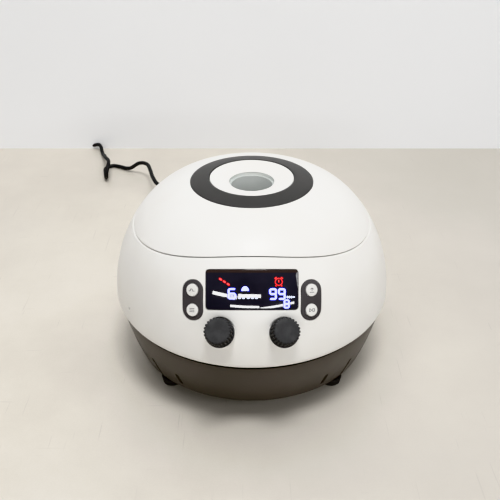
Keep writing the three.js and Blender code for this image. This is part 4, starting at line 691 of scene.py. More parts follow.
class Finish:
    """One material: a Principled shader with even values on its own sockets."""

    def __init__(self, name, **even):
        self.material = bpy.data.materials.new(name)
        self.material.use_nodes = True
        self.tree = self.material.node_tree
        self.shader = self.tree.nodes["Principled BSDF"]
        for socket, value in even.items():
            self.shader.inputs[socket.replace("_", " ")].default_value = value

    def node(self, kind, settings=None, values=None, output=0):
        """Adds a node: its settings first, then the values or links of its sockets."""
        made = self.tree.nodes.new(kind)
        for key, value in (settings or {}).items():
            setattr(made, key, value)
        pairs = values.items() if isinstance(values, dict) else enumerate(values or [])
        for key, value in pairs:
            if isinstance(value, Signal):
                self.tree.links.new(value.socket, made.inputs[key])
            else:
                made.inputs[key].default_value = value
        return Signal(self, made.outputs[output])

    def place(self):
        """Object coordinates: metres in the CAD frame, because every piece sits at the origin."""
        return self.node("ShaderNodeTexCoord", output="Object")

    def along(self, axis):
        """One coordinate of the place, in metres."""
        return self.node("ShaderNodeSeparateXYZ", values=[self.place()], output=axis)

    def noise(self, scale, detail=2.0, stretch=None, rough=0.5):
        """Noise whose grain is 1 / scale metres, even in all directions unless stretched."""
        where = self.place()
        if stretch is not None:
            where = self.node("ShaderNodeVectorMath", {"operation": "MULTIPLY"}, [where, stretch])
        values = {"Vector": where, "Scale": scale, "Detail": detail, "Roughness": rough}
        return self.node("ShaderNodeTexNoise", values=values)

    def mix_colors(self, share, first, second):
        """Blends from the first colour to the second by a share."""
        return self.node(
            "ShaderNodeMix", {"data_type": "RGBA"}, {0: share, 6: color(first), 7: color(second)}, output=2,
        )

    def vary(self, socket, signal):
        """Lets a signal drive one socket of the shader."""
        self.tree.links.new(signal.socket, self.shader.inputs[socket])
        return self

    def surface(self):
        """The Principled shader's own output."""
        return Signal(self, self.shader.outputs[0])

    def blend(self, share, first, second):
        """Mixes two shaders into the material's output: the second where the share is 1."""
        mixed = self.node("ShaderNodeMixShader", values={0: share, 1: first, 2: second})
        self.tree.links.new(mixed.socket, self.tree.nodes["Material Output"].inputs["Surface"])
        return self

    def bump(self, height, distance):
        """Relief of a height signal, its full step being the distance in millimetres."""
        values = {"Height": height, "Distance": distance * MM, "Strength": 1.0}
        return self.vary("Normal", self.node("ShaderNodeBump", values=values))


def color(value):
    """Linear colour with alpha from sRGB 0-255, or a signal as it is."""
    if isinstance(value, Signal):
        return value
    shares = [v / 255 for v in value]
    linear = [v / 12.92 if v <= 0.04045 else ((v + 0.055) / 1.055) ** 2.4 for v in shares]
    return (*linear, 1.0)


def moulded_plastic(name, shade, deep, rough=0.36, grain=0.012, ior=1.5):
    """Moulded plastic: a slow drift of shade, smudges in the gloss and a fine moulded grain."""
    finish = Finish(name, IOR=ior)
    drift = finish.noise(14, 3.0)
    finish.vary("Base Color", finish.mix_colors(drift.ramp(0.3, 0.7), deep, shade))
    finish.vary("Roughness", finish.noise(55, 4.0) * 0.10 + (rough - 0.05))
    relief = finish.noise(FINE_GRAIN) + finish.noise(COARSE_GRAIN) * 0.6
    return finish.bump(relief, grain).material


def bowl_plastic(name):
    """Dark textured plastic of the lower bowl, with painted shade: near black on the lip in the gap under the
    shell.
    """
    finish = Finish(name, IOR=1.32)
    drift = finish.noise(14, 3.0).ramp(0.3, 0.7)
    # Painted shade: above the bowl's top the lip is coloured near black in place of the shadow in the gap under
    # the white shell. It is also made rougher there.
    painted_gap_shade = finish.along("Z").ramp((BOWL_TOP - 0.25) * MM, (BOWL_TOP - 0.05) * MM)
    shade = finish.mix_colors(drift, (80, 76, 71), (89, 84, 79))
    finish.vary("Base Color", finish.mix_colors(painted_gap_shade, shade, (6, 6, 6)))
    finish.vary("Roughness", finish.noise(55, 4.0) * 0.1 + 0.37 + painted_gap_shade * 0.4)
    return finish.bump(finish.noise(2800) + finish.noise(200) * 0.6, 0.02).material


def rubber_finish(name, shade, deep):
    """Matt rubber: fine pores and a dusty drift of shade."""
    finish = Finish(name, IOR=1.5, Specular_IOR_Level=0.35)
    finish.vary("Base Color", finish.mix_colors(finish.noise(180, 4.0).ramp(0.35, 0.75), deep, shade))
    finish.vary("Roughness", finish.noise(240, 3.0) * 0.14 + 0.6)
    return finish.bump(finish.noise(2600, 3.0), 0.02).material


def turned_metal(name, shade, rough):
    """Metal turned about Z: fine level lines, so the noise is stretched round the axis."""
    finish = Finish(name, Metallic=1.0)
    streaks = finish.noise(1.0, 3.0, stretch=(12.0, 12.0, 900.0))
    finish.vary("Base Color", finish.mix_colors(streaks.ramp(0.3, 0.7), [v * 0.9 for v in shade], shade))
    finish.vary("Roughness", streaks * 0.16 + (rough - 0.08))
    return finish.bump(streaks, 0.006).material


def sheet_metal(name, shade, rough):
    """Rolled sheet: long faint lines along X and a cloudy gloss."""
    finish = Finish(name, Metallic=1.0)
    lines = finish.noise(1.0, 4.0, stretch=(30.0, 1200.0, 1200.0))
    finish.vary("Base Color", finish.mix_colors(lines.ramp(0.3, 0.7), [v * 0.88 for v in shade], shade))
    finish.vary("Roughness", finish.noise(40, 3.0) * 0.2 + (rough - 0.1))
    return finish.bump(lines, 0.004).material


def circuit_board(name):
    """Green board: solder mask over darker tracks."""
    finish = Finish(name, IOR=1.5)
    tracks = finish.noise(420, 1.0, stretch=(1.0, 0.25, 1.0)).ramp(0.48, 0.52)
    finish.vary("Base Color", finish.mix_colors(tracks, (22, 74, 44), (38, 104, 62)))
    finish.vary("Roughness", tracks * 0.15 + 0.35)
    return finish.bump(tracks, 0.03).material


# Camera and supply lead


def camera():
    """Looks down on the console from the front, as the photograph does."""
    data = bpy.data.cameras.new("camera")
    data.sensor_width = SENSOR_WIDTH
    data.lens = LENS
    data.clip_start = 0.02
    data.clip_end = 40.0
    eye = bpy.data.objects.new("camera", data)
    eye.location = EYE
    eye.rotation_euler = (QUARTER - EYE_FALL, 0.0, 0.0)
    bpy.context.scene.collection.objects.link(eye)
    bpy.context.scene.camera = eye


def flowing(points):
    """A centripetal Catmull-Rom line through points: knots are spaced by the root of their
    distance, and each stretch is blended from straight lines three times over."""
    knots = np.asarray(points, float)
    knots = np.vstack([2 * knots[0] - knots[1], knots, 2 * knots[-1] - knots[-2]])
    out = []
    for a, b, c, d in zip(knots[:-3], knots[1:-2], knots[2:-1], knots[3:]):
        t1 = np.linalg.norm(b - a) ** 0.5
        t2 = t1 + np.linalg.norm(c - b) ** 0.5
        t3 = t2 + np.linalg.norm(d - c) ** 0.5
        t = np.linspace(t1, t2, 24, endpoint=False)[:, None]
        first = (t1 - t) / t1 * a + t / t1 * b
        middle = (t2 - t) / (t2 - t1) * b + (t - t1) / (t2 - t1) * c
        last = (t3 - t) / (t3 - t2) * c + (t - t2) / (t3 - t2) * d
        left = (t2 - t) / t2 * first + t / t2 * middle
        right = (t3 - t) / (t3 - t1) * middle + (t - t1) / (t3 - t1) * last
        out.append((t2 - t) / (t2 - t1) * left + (t - t1) / (t2 - t1) * right)
    return resampled(np.vstack([*out, knots[-2]]))


def resampled(line):
    """The same line with its points evenly spaced."""
    reach = np.concatenate([[0], np.cumsum(np.linalg.norm(np.diff(line, axis=0), axis=1))])
    at = np.linspace(0, reach[-1], max(2, int(round(reach[-1] / LEAD_SPACING))) + 1)
    return np.stack([np.interp(at, reach, line[:, axis]) for axis in range(3)], -1)


def coil_line():
    """The put-away coil: a flat spiral inwards, half a turn up, and a spiral out on top of it."""
    turns = 2 * COIL_LOOPS + 0.5
    turn = np.linspace(0, turns, int(COIL_POINTS * turns) + 1)
    inward = np.minimum(turn, turns - turn)
    climb = np.clip((turn - COIL_LOOPS) * 2, 0, 1)
    radius = COIL_RADIUS + COIL_PITCH * (COIL_LOOPS / 2 - inward)
    angle = math.pi - turn * TURN
    return np.stack([
        COIL_CENTER[0] + radius * np.cos(angle), COIL_CENTER[1] + radius * np.sin(angle),
        COIL_REST + COIL_LIFT * climb ** 2 * (3 - 2 * climb),
    ], -1)


def lead_line():
    """The whole centreline of the lead: laid stretch, coil and tail, from the plug to the adapter."""
    coil = coil_line()
    enter = coil[0] + (coil[0] - coil[1]) / np.linalg.norm(coil[0] - coil[1]) * LEAD_DIAMETER
    leave = coil[-1] + (coil[-1] - coil[-2]) / np.linalg.norm(coil[-1] - coil[-2]) * LEAD_DIAMETER
    start, end = np.array(LEAD_START), np.array(TAIL_END)
    laid = flowing([start, start + (0, LEAD_DIAMETER, 0), *LEAD_ROUTE, enter, coil[0]])
    tail = flowing([coil[-1], leave, *TAIL_ROUTE, end - (LEAD_DIAMETER, 0, 0), end])
    return np.vstack([laid, coil[1:-1], tail])


def tube_along(name, line, radius):
    """A round tube carried along a line: each ring stands square to it and none is turned on the last."""
    along = np.gradient(line, axis=0)
    along /= np.linalg.norm(along, axis=1, keepdims=True)
    side = np.cross(along, [0, 0, 1])
    side /= np.linalg.norm(side, axis=1, keepdims=True)
    over = np.cross(side, along)
    angle = around(LEAD_SIDES)[None, :, None]
    points = line[:, None] + radius * (np.cos(angle) * side[:, None] + np.sin(angle) * over[:, None])
    return skin(name, points, sharp=60.0)


def supply_lead(plug):
    """The whole lead as one tube, standing for the CAD lead, its coil and its tail."""
    line = lead_line()
    lead = tube_along("supply_lead", line, LEAD_DIAMETER / 2)
    finished(lead, "lead", "lead", "lead_coil", "lead_tail")


def dress(piece, material):
    """Gives a piece, or a CAD node, one material in every slot."""
    if piece.material_slots:
        for slot in piece.material_slots:
            slot.link = "OBJECT"
            slot.material = material
    else:
        piece.data.materials.append(material)


# Finishes


def transparent_pane(name):
    """Clear window: light passes straight through, and a mirror share grows towards an edge-on view."""
    finish = Finish(name, Metallic=1.0)
    marks = finish.noise(60, 4.0)
    finish.vary("Base Color", finish.mix_colors(marks.ramp(0.3, 0.7), (236, 240, 240), (250, 252, 252)))
    finish.vary("Roughness", marks.ramp(0.55, 0.8) * 0.06 + 0.02)
    clear = finish.node("ShaderNodeBsdfTransparent", values={"Color": color((246, 248, 248))})
    edge_on = finish.node("ShaderNodeLayerWeight", values={"Blend": 0.5}, output="Facing")
    film = edge_on ** 5 * 0.96 + 0.04 + marks.ramp(0.4, 0.9) * 0.02
    return finish.blend(film, clear, finish.surface()).material


def black_glass(name):
    """The display's dark acrylic: blue-black, brownish along its top, smooth with faint wipe marks."""
    finish = Finish(name, IOR=1.75)
    cloud = finish.noise(40, 3.0).ramp(0.3, 0.7)
    field = finish.mix_colors(cloud, (44, 43, 49), (54, 53, 60))
    origin, _, up, _ = WINDOW_FRAME
    rise = finish.node(
        "ShaderNodeVectorMath", {"operation": "DOT_PRODUCT"}, [finish.place(), tuple(up)], output="Value",
    )
    low = float(origin @ up + DISPLAY_BAND)
    band = rise.ramp(low * MM, (low + 0.3) * MM)
    finish.vary("Base Color", finish.mix_colors(band, field, (64, 56, 54)))
    finish.vary("Roughness", finish.noise(90, 4.0).ramp(0.5, 0.85) * 0.06 + 0.035)
    return finish.bump(finish.noise(18, 1.0), 0.02).material


def lit_sign(name, shade, strength):
    """A lit sign under the dark glass: glow with a slow drift, as glossy as the glass."""
    finish = Finish(name, IOR=1.5, Roughness=0.04, Emission_Strength=strength)
    drift = finish.noise(300, 2.0).ramp(0.2, 0.8)
    finish.vary("Base Color", finish.mix_colors(drift, (20, 18, 24), (26, 22, 30)))
    return finish.vary("Emission Color", finish.mix_colors(drift, [v * 0.9 for v in shade], shade)).material


# Each finish as its slot and its material
FINISHES = {
    "shell": ("white_shell", moulded_plastic("white_shell", (238, 237, 234), (232, 230, 226), rough=0.34)),
    "liner": ("white_shell", moulded_plastic("lid_lining", (226, 226, 222), (216, 215, 210), rough=0.5)),
    "bowl": ("dark_shell", bowl_plastic("dark_shell")),
    "ring": ("dark_trim", moulded_plastic(
        "dark_ring", (54, 53, 52), (48, 47, 46), ior=1.45, rough=0.38, grain=0.02,
    )),
    "pad": ("pad_plastic", moulded_plastic(
        "pad_plastic", (76, 73, 75), (68, 65, 67), rough=0.46, grain=0.015,
    )),
    "button": ("button_plastic", moulded_plastic(
        "button_plastic", (234, 233, 230), (224, 223, 220), rough=0.42,
    )),
    "black": ("black_plastic", moulded_plastic(
        "black_plastic", (46, 46, 47), (37, 37, 38), rough=0.46, grain=0.03,
    )),
    "knob": ("knob_rubber", rubber_finish("knob_rubber", (68, 68, 69), (57, 57, 58))),
    "rubber": ("foot_rubber", rubber_finish("foot_rubber", (54, 53, 52), (42, 41, 41))),
    "gasket": ("foot_rubber", rubber_finish("gasket_rubber", (92, 92, 90), (78, 78, 76))),
    "lead": ("lead_sheath", rubber_finish("lead_sheath", (42, 42, 43), (32, 32, 33))),
    "rotor": ("rotor_aluminium", turned_metal("rotor_aluminium", (150, 152, 155), 0.34)),
    "chamber": ("steel", turned_metal("chamber_steel", (196, 197, 198), 0.26)),
    "steel": ("steel", turned_metal("steel", (186, 188, 190), 0.3)),
    "sheet": ("steel", sheet_metal("sheet_steel", (168, 170, 172), 0.38)),
    "board": ("circuit_board", circuit_board("circuit_board")),
    "pane": ("clear_window", transparent_pane("clear_window")),
    "display": ("display_glass", black_glass("display_glass")),
    "mark": ("button_plastic", moulded_plastic("printed_marks", (70, 72, 80), (58, 60, 68), rough=0.5)),
    "glow": ("display_glass", lit_sign("sign_white", (226, 234, 255), 4.0)),
    "glow_red": ("display_glass", lit_sign("sign_red", (255, 40, 34), 2.2)),
    "glow_blue": ("display_glass", lit_sign("sign_halo", (34, 40, 235), 1.1)),
}


def finished(piece, finish, *nodes, body="housing"):
    """Dresses a new piece, lets it ride on its body and stand for its CAD nodes."""
    slot, material = FINISHES[finish]
    dress(piece, material)
    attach(piece, body)
    if nodes:
        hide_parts(*nodes)
    return piece


# Housing


def true_dome_normals(piece):
    """Gives the faces that lie on the dome the normals of its formula, so that cuts leave no trace
    in its gloss."""
    mesh = piece.data

    def values(items, key, width, kind):
        """One property of all items, as rows of numbers."""
        found = np.empty(len(items) * width, kind)
        items.foreach_get(key, found)
        return found.reshape(-1, width)

    places = values(mesh.vertices, "co", 3, np.float32).astype(float) / MM
    on = (np.abs(dome_distance(places)) < ON_DOME) & (places[:, 2] > WIDEST_HEIGHT + ABOVE_WIDEST)
    corner = values(mesh.loops, "vertex_index", 1, np.int32)[:, 0]
    totals = values(mesh.polygons, "loop_total", 1, np.int32)[:, 0]
    face = np.repeat(values(mesh.polygons, "normal", 3, np.float32), totals, axis=0)
    wanted = dome_normal(places)[corner]
    fits = on[corner] & (np.einsum("ij,ij->i", face, wanted) > SAME_WAY)
    mesh.normals_split_custom_set(np.where(fits[:, None], wanted, 0.0).tolist())


def shell_rows(angle):
    """Rows of the upper shell, up the outside, over the seam edge, down to the deck and up inside."""
    seam = seam_height(angle) - SEAM_GAP / 2
    share = dome_share(seam)
    inside_share = share * BODY_HALF_WIDTH / (BODY_HALF_WIDTH - SHELL_WALL)
    inside_top = dome_height(inside_share, SHELL_WALL)
    deck_bottom = DECK_HEIGHT - DECK_WALL

    def hem(height):
        drop = (WIDEST_HEIGHT - height) / (WIDEST_HEIGHT - SHELL_FOOT_HEIGHT)
        return SHELL_HEM * (1 - math.sqrt(max(0.0, 1 - drop * drop)))

    hems = np.linspace(SHELL_FOOT_HEIGHT, WIDEST_HEIGHT, 9)
    rows = [plan_point(angle, 1.0, hem(height), height) for height in hems]
    climb = seam - EDGE_START - WIDEST_HEIGHT
    rows += [dome_point(angle, WIDEST_HEIGHT + climb * t) for t in np.linspace(0, 1, 45)[1:]]
    rows.append(dome_point(angle, seam - EDGE_MIDDLE[0], EDGE_MIDDLE[1]))
    rows.append(plan_point(angle, dome_share(seam, EDGE_END), EDGE_END, seam))
    rows += [
        plan_point(angle, share, SHELL_WALL, seam + (DECK_HEIGHT - seam) * t) for t in (0.0, 0.03, 0.5, 1.0)
    ]
    rows.append(circle(angle, MOUTH_RADIUS + MOUTH_EDGE, DECK_HEIGHT))
    rows.append(circle(angle, MOUTH_RADIUS, DECK_HEIGHT - MOUTH_EDGE))
    rows.append(circle(angle, MOUTH_RADIUS, deck_bottom))
    rows.append(plan_point(angle, share, 0.0, deck_bottom))
    fall = WIDEST_HEIGHT - inside_top
    rows += [dome_point(angle, inside_top + fall * t, SHELL_WALL) for t in np.linspace(0, 1, 20)[:-1]]
    rows += [plan_point(angle, 1.0, SHELL_WALL + hem(height), height) for height in hems[::-1]]
    return rows


def post(name, frame_of, radius, low, high, columns=64):
    """A plain round cutter or collar in a frame."""
    return revolve(name, [(radius, low), (radius, high)], columns, frame_of)


def bore(name, frame_of, radius, columns):
    """A round cutter that reaches through a wall both ways."""
    return post(name, frame_of, radius, -CUT_REACH, CUT_REACH, columns)


def upper_shell():
    """The rings of shell_rows, joined by the knob collars and cut by every seat, bore and slot."""
    shell = skin("housing_shell", shell_rows(around(360)), ring=True)
    cutters = [
        slab("window_recess", WINDOW_FRAME, WINDOW_SIZE, CUT_ABOVE, WINDOW_SEAT, 10, 160, grow=FIT_GAP),
        slab("window_opening", WINDOW_FRAME, WINDOW_SIZE, CUT_ABOVE, -CUT_REACH, 4, 96, grow=-WINDOW_LIP),
    ]
    for place in PAD_FRAMES.values():
        cutters.append(slab("pad_recess", place, PAD_SIZE, CUT_ABOVE, PAD_SEAT, 8, 96, grow=FIT_GAP))
        for rise in BUTTON_RISES.values():
            cutters.append(bore("stem_hole", moved(place, rise), STEM_HOLE_RADIUS, 32))
    collars = []
    for place in KNOB_FRAMES.values():
        collars.append(post("knob_collar", place, COLLAR_RADIUS, COLLAR_FOOT, SEAT_LIFT, 96))
        cutters.append(post("knob_recess", place, KNOB_RECESS_RADIUS, SEAT_LIFT, CUT_REACH, 128))
        cutters.append(bore("knob_bore", place, KNOB_BORE_RADIUS, 48))
    carve(shell, collars, "UNION")
    cutters.append(box_piece("striker_slot", *STRIKER_SLOT))
    cutters.append(bore("release_hole", release_frame(), RELEASE_RADIUS, 40))
    carve(shell, cutters)
    true_dome_normals(shell)
    finished(shell, "shell", "upper_shell")


def moved(place, rise):
    """A frame moved along its own y."""
    origin, x, y, z = place
    return origin + y * rise, x, y, z


def release_frame():
    """A frame on the dome's left whose z runs level through the wall."""
    point = dome_point(RELEASE_ANGLE, RELEASE_HEIGHT)
    return axis_frame(point, (point[0], point[1], 0))


def bowl_point(angle, height, inset):
    """Half ellipses in plan that shrink from the seam to the foot with the 1.35th power of the fall."""
    fall = np.clip((BOWL_TOP - height) / (BOWL_TOP - BOWL_BOTTOM), 0, 1) ** BOWL_TAPER_POWER

    def between(high, low):
        return high - SHELL_HEM + (low - high + SHELL_HEM) * fall - inset

    half_width = between(BODY_HALF_WIDTH, BOWL_BOTTOM_HALF_WIDTH)
    front = between(BODY_FRONT_DEPTH, BOWL_BOTTOM_FRONT)
    rear = between(BODY_REAR_DEPTH, BOWL_BOTTOM_REAR)
    depth = np.where(np.cos(angle) > 0, front, rear)
    return np.stack([half_width * np.sin(angle), -depth * np.cos(angle), height + 0 * angle], -1)


def bowl_skin(name, rows, ring=False):
    """A surface through level rings of the bowl, given as (height, inset)."""
    angle = around(300)
    return skin(name, [bowl_point(angle, height, inset) for height, inset in rows], ring=ring)


def base_bowl():
    """Level rings down the outside, round the foot and up the inside, with the bay's rim and holes."""
    lip_top = BOWL_TOP + LIP_HEIGHT
    floor_top = BOWL_BOTTOM + BOWL_FLOOR
    rows = [(lip_top, LIP_DEPTH), (BOWL_TOP + 0.01, LIP_DEPTH), (BOWL_TOP, 0.4), (BOWL_TOP - 0.15, 0.1)]
    rows += [(height, 0.0) for height in BOWL_HEIGHTS[1:]]
    for turn in np.linspace(0, QUARTER, 7)[1:]:
        rows.append((BOWL_BOTTOM + BOWL_EDGE * (1 - math.sin(turn)), BOWL_EDGE * (1 - math.cos(turn))))
    rows += [(BOWL_BOTTOM, BOWL_LEDGE), (floor_top, BOWL_LEDGE), (floor_top, BOWL_WALL + BOWL_FLOOR_CORNER)]
    rows += [(height, BOWL_WALL) for height in BOWL_HEIGHTS[-2:0:-1]]
    rows += [(BOWL_TOP, BOWL_WALL + LIP_DEPTH), (lip_top, BOWL_WALL + LIP_DEPTH)]
    bowl = bowl_skin("base_shell", rows, ring=True)
    core = [(height, 0.02) for height in BOWL_HEIGHTS] + [(BOWL_BOTTOM + 0.1, BOWL_EDGE)]
    solid = bowl_skin("bowl_solid", core)
    left, right, panel, low, high = BAY
    block = box_piece(
        "bay_block", (left - BAY_RIM, panel - BOWL_WALL, low - BAY_RIM),
        (right + BAY_RIM, BODY_REAR_DEPTH, high + BAY_RIM),
    )
    carve(block, [solid], "INTERSECT")
    carve(bowl, [block], "UNION")
    rear = upright(panel, (left + right) / 2, (low + high) / 2)
    rocker_x, rocker_z = ROCKER_HOLE
    carve(bowl, [
        prism("bay_hollow", outline(right - left, high - low, BAY_CORNER), 0.0, BAY_REACH, rear),
        post("jack_hole", axis_frame((JACK_X, 0, BAY_MIDDLE), (0, 1, 0)), JACK_HOLE_RADIUS, *JACK_HOLE_ENDS),
        box_piece(
            "rocker_hole", (ROCKER_X - rocker_x, ROCKER_HOLE_ENDS[0], BAY_MIDDLE - rocker_z),
            (ROCKER_X + rocker_x, ROCKER_HOLE_ENDS[1], BAY_MIDDLE + rocker_z),
        ),
        *vent_cutters(),
        *(post("screw_hole", axis_at(x, y), SCREW_HOLE, 0, 20, 32) for x, y in FOOT_PLACES.values()),
    ])
    smooth(bowl, 28)
    finished(bowl, "bowl", "base_bowl")


def axis_at(x, y):
    """An upright frame on the table."""
    return np.array([x, y, 0.0]), *np.eye(3)


def upright(place_y, x, z):
    """A frame that faces the rear: its x runs to the left, its y up and its z backwards."""
    return np.array([x, place_y, z]), *np.array([[-1.0, 0, 0], [0, 0, 1], [0, 1, 0]])


def vent_cutters():
    """Upright slots with round ends, square to the bowl's wall, five on each side."""
    cutters = []
    for side in SIDES.values():
        for degrees, middle, length in VENTS:
            x, y, _ = bowl_point(math.radians(degrees), middle, BOWL_WALL / 2)
            place = axis_frame((side * x, y, middle), (side * x, y, 0))
            flat = outline(VENT_WIDTH, length, VENT_WIDTH / 2 - 0.01, 48)
            cutters.append(prism("vent_slot", flat, -VENT_REACH, VENT_REACH, place))
    return cutters


def feet():
    """Each foot is its profile turned about its screw."""
    for name, (x, y) in FOOT_PLACES.items():
        foot = revolve(f"rubber_foot_{name}", FOOT_PROFILE, 64, axis_at(x, y), ring=True)
        finished(foot, "rubber", f"foot_{name}")


# Lid


def crown_height(radius):
    """The dome's height over a radius."""
    return float(dome_height(radius / BODY_HALF_WIDTH))


def lid_shell():
    """Rows from the seam edge over the crown to the ring's seat, and back inside."""
    angle = around(360)
    low = seam_height(angle) + SEAM_GAP / 2
    seat = RING_OUTER + SEAT_GAP
    ledge = crown_height(RING_OUTER) - LEDGE_DROP
    rows = [
        plan_point(angle, dome_share(low, EDGE_END), EDGE_END, low),
        dome_point(angle, low + EDGE_MIDDLE[0], EDGE_MIDDLE[1]),
    ]
    start = dome_share(low + EDGE_START)
    for part in np.linspace(0, 1, 44):
        share = start + ((seat + EDGE_START) / BODY_HALF_WIDTH - start) * part
        rows.append(plan_point(angle, share, 0.0, dome_height(share)))
    rows += [circle(angle, radius, height) for radius, height in (
        (seat + EDGE_MIDDLE[1], crown_height(seat) - EDGE_MIDDLE[1]), (seat, crown_height(seat) - EDGE_END),
        (seat, ledge), (LID_HOLE_RADIUS, ledge), (LID_HOLE_RADIUS, ledge - LID_WALL),
    )]
    end = (RING_OUTER - LID_WALL) / (BODY_HALF_WIDTH - LID_WALL)
    for part in np.linspace(0, 1, 22):
        share = end + (dome_share(low, LID_WALL) - end) * part
        rows.append(plan_point(angle, share, LID_WALL, dome_height(share, LID_WALL)))
    shell = skin("lid_cover", rows, ring=True)
    true_dome_normals(shell)
    finished(shell, "shell", "lid_shell", body="lid")


def lid_liner():
    """A tray inside the lid: its skirt follows the seam and its flat floor has a hole for the glass."""
    angle = around(240)
    low = seam_height(angle) + SEAM_GAP / 2 + SEAT_GAP
    floor_top = LINER_BOTTOM + LINER_WALL
    inset = SHELL_WALL + LINER_GAP
    skirt = dome_share(seam_height(angle) - SEAM_GAP / 2)
    bottom = plan_point(angle, skirt, inset, LINER_BOTTOM)
    top = dome_point(angle, low, inset)
    rows = [
        plan_point(angle, skirt, inset + LINER_EDGE, LINER_BOTTOM),
        *(bottom + (top - bottom) * t for t in np.clip(np.linspace(0, 1, 8), 0.03, 1)),
        dome_point(angle, low + LINER_WALL, inset),
        plan_point(angle, dome_share(low + LINER_WALL), inset + LINER_WALL, low + LINER_WALL),
        plan_point(angle, skirt, inset + LINER_WALL, floor_top),
        circle(angle, LINER_HOLE_RADIUS, floor_top),
        circle(angle, LINER_HOLE_RADIUS, LINER_BOTTOM + LINER_HOLE_EDGE),
        circle(angle, LINER_HOLE_RADIUS + LINER_HOLE_EDGE, LINER_BOTTOM),
    ]
    finished(skin("lid_lining", rows, ring=True), "liner", "lid_liner", body="lid")


def lid_ring():
    """The crown's own curve between two radii, turned over a flat underside."""
    bottom = crown_height(RING_OUTER) - LEDGE_DROP + SEAT_GAP
    radii = np.linspace(RING_OUTER - 0.35, RING_INNER + 0.35, 12)
    crown = [(radius, crown_height(radius)) for radius in radii]
    outer_top, inner_top = crown[0][1], crown[-1][1]
    profile = [
        (RING_INNER, bottom), (RING_OUTER, bottom), (RING_OUTER, outer_top - 0.5),
        (RING_OUTER - 0.1, outer_top - 0.15), *crown,
        (RING_INNER + 0.1, inner_top - 0.1), (RING_INNER, inner_top - 0.35),
    ]
    ring = revolve("dark_ring", profile, 256, ring=True, sharp=50)
    finished(ring, "ring", "lid_ring", body="lid")


def lid_dish():
    """A turned disc that falls to the neck of the glass and is hollow underneath."""
    ledge = crown_height(RING_OUTER) - LEDGE_DROP + SEAT_GAP
    top = crown_height(RING_INNER) + DISH_LIP
    seat = top - GLASS_DROP - GLASS_THICKNESS - SEAT_GAP
    neck = top - DISH_FALL
    bottom = LINER_BOTTOM + LINER_WALL + SEAT_GAP
    upper = rounded_profile([
        (DISH_RADIUS, ledge), (DISH_RADIUS, top), (20.5, neck), (NECK_RADIUS, neck - 0.5), (NECK_RADIUS, seat),
    ], (1.4, 2.5, 0.4), 7)
    lower = [
        (GLASS_SEAT_RADIUS, seat), (GLASS_SEAT_RADIUS, seat - 1.6), (NECK_RADIUS, bottom), (NECK_OUTER, bottom),
        (NECK_OUTER, neck - 4.4), (DISH_UNDERSIDE, ledge - 1.4), (DISH_UNDERSIDE, ledge),
    ]
    dish = revolve("lid_dish_disc", np.vstack([upper, lower]), 192, ring=True)
    finished(dish, "shell", "lid_dish", body="lid")


def sight_glass():
    """A turned pane with a soft upper edge."""
    top = crown_height(RING_INNER) + DISH_LIP - GLASS_DROP
    bottom = top - GLASS_THICKNESS
    profile = [
        (0.0, bottom), (GLASS_RADIUS, bottom), (GLASS_RADIUS, top - 0.6), (GLASS_RADIUS - 0.18, top - 0.18),
        (GLASS_RADIUS - 0.6, top), (0.0, top),
    ]
    finished(revolve("window_pane", profile, 128), "pane", "sight_glass", body="lid")


# Rotor and chamber


def rotor():
    """A turned body with slanting pockets bored into its conical wall."""
    profile = rounded_profile(ROTOR_PROFILE, ROTOR_ROUNDS) + (0, ROTOR_BASE)
    body = revolve("rotor_body", profile, 240, ring=True, sharp=24)
    cutters = []
    for at in range(POCKETS):
        angle = (at + 0.5) / POCKETS * TURN
        away = np.array([math.sin(angle), -math.cos(angle), 0])
        axis = (0, 0, math.cos(POCKET_TILT)) - away * math.sin(POCKET_TILT)
        mouth = away * POCKET_CIRCLE + (0, 0, POCKET_MOUTH_HEIGHT)
        cutters.append(revolve("pocket", POCKET_PROFILE, 48, axis_frame(mouth, axis)))
    carve(body, cutters)
    smooth(body, 24)
    finished(body, "rotor", "rotor", body="drive_rotor")


def columns_of(table):
    """A table's columns, each as a column of rows, so that they spread over a ring's angles."""
    return np.array(table).T[..., None]


def rotor_nut():
    """A turned nut whose radius dips twelve times round: r(a) = r - d (1 - cos 12 a) / 2."""
    angle = around(192)
    radius, height, depth = columns_of(NUT_PROFILE)
    wave = (1 - np.cos(NUT_DIPS * angle)) / 2
    nut = skin("rotor_nut_grip", circle(angle, radius - depth * wave, height))
    finished(nut, "black", "rotor_nut", body="drive_rotor")


def floor_corner(corner, turns):
    """A quarter round between the chamber's wall and floor, from (radius, rounding, height)."""
    radius, rounding, height = corner
    return [(radius - rounding * (1 - math.sin(t)), height + rounding * (1 - math.cos(t))) for t in turns]


def chamber():
    """A turned bowl of even wall with a rim for its seal."""
    turns = np.linspace(0, QUARTER, 9)
    profile = [
        (CHAMBER_HUB, CHAMBER_OUTSIDE[2]), (CHAMBER_HUB, CHAMBER_INSIDE[2]),
        *floor_corner(CHAMBER_INSIDE, turns), *CHAMBER_RIM, *floor_corner(CHAMBER_OUTSIDE, turns[::-1]),
    ]
    finished(revolve("chamber_lining", profile, 192, ring=True, sharp=40), "chamber", "chamber_bowl")
    seal = rounded_profile(SEAL_PROFILE, SEAL_ROUNDS)
    finished(revolve("chamber_seal", seal, 192, ring=True, sharp=40), "gasket", "chamber_gasket")


# Console


def display():
    """A plate that follows the dome inside its recess."""
    pane = slab("display_pane", WINDOW_FRAME, WINDOW_SIZE, 0.0, WINDOW_BACK, 16, 160, edge=0.35)
    finished(pane, "display", "display_window")


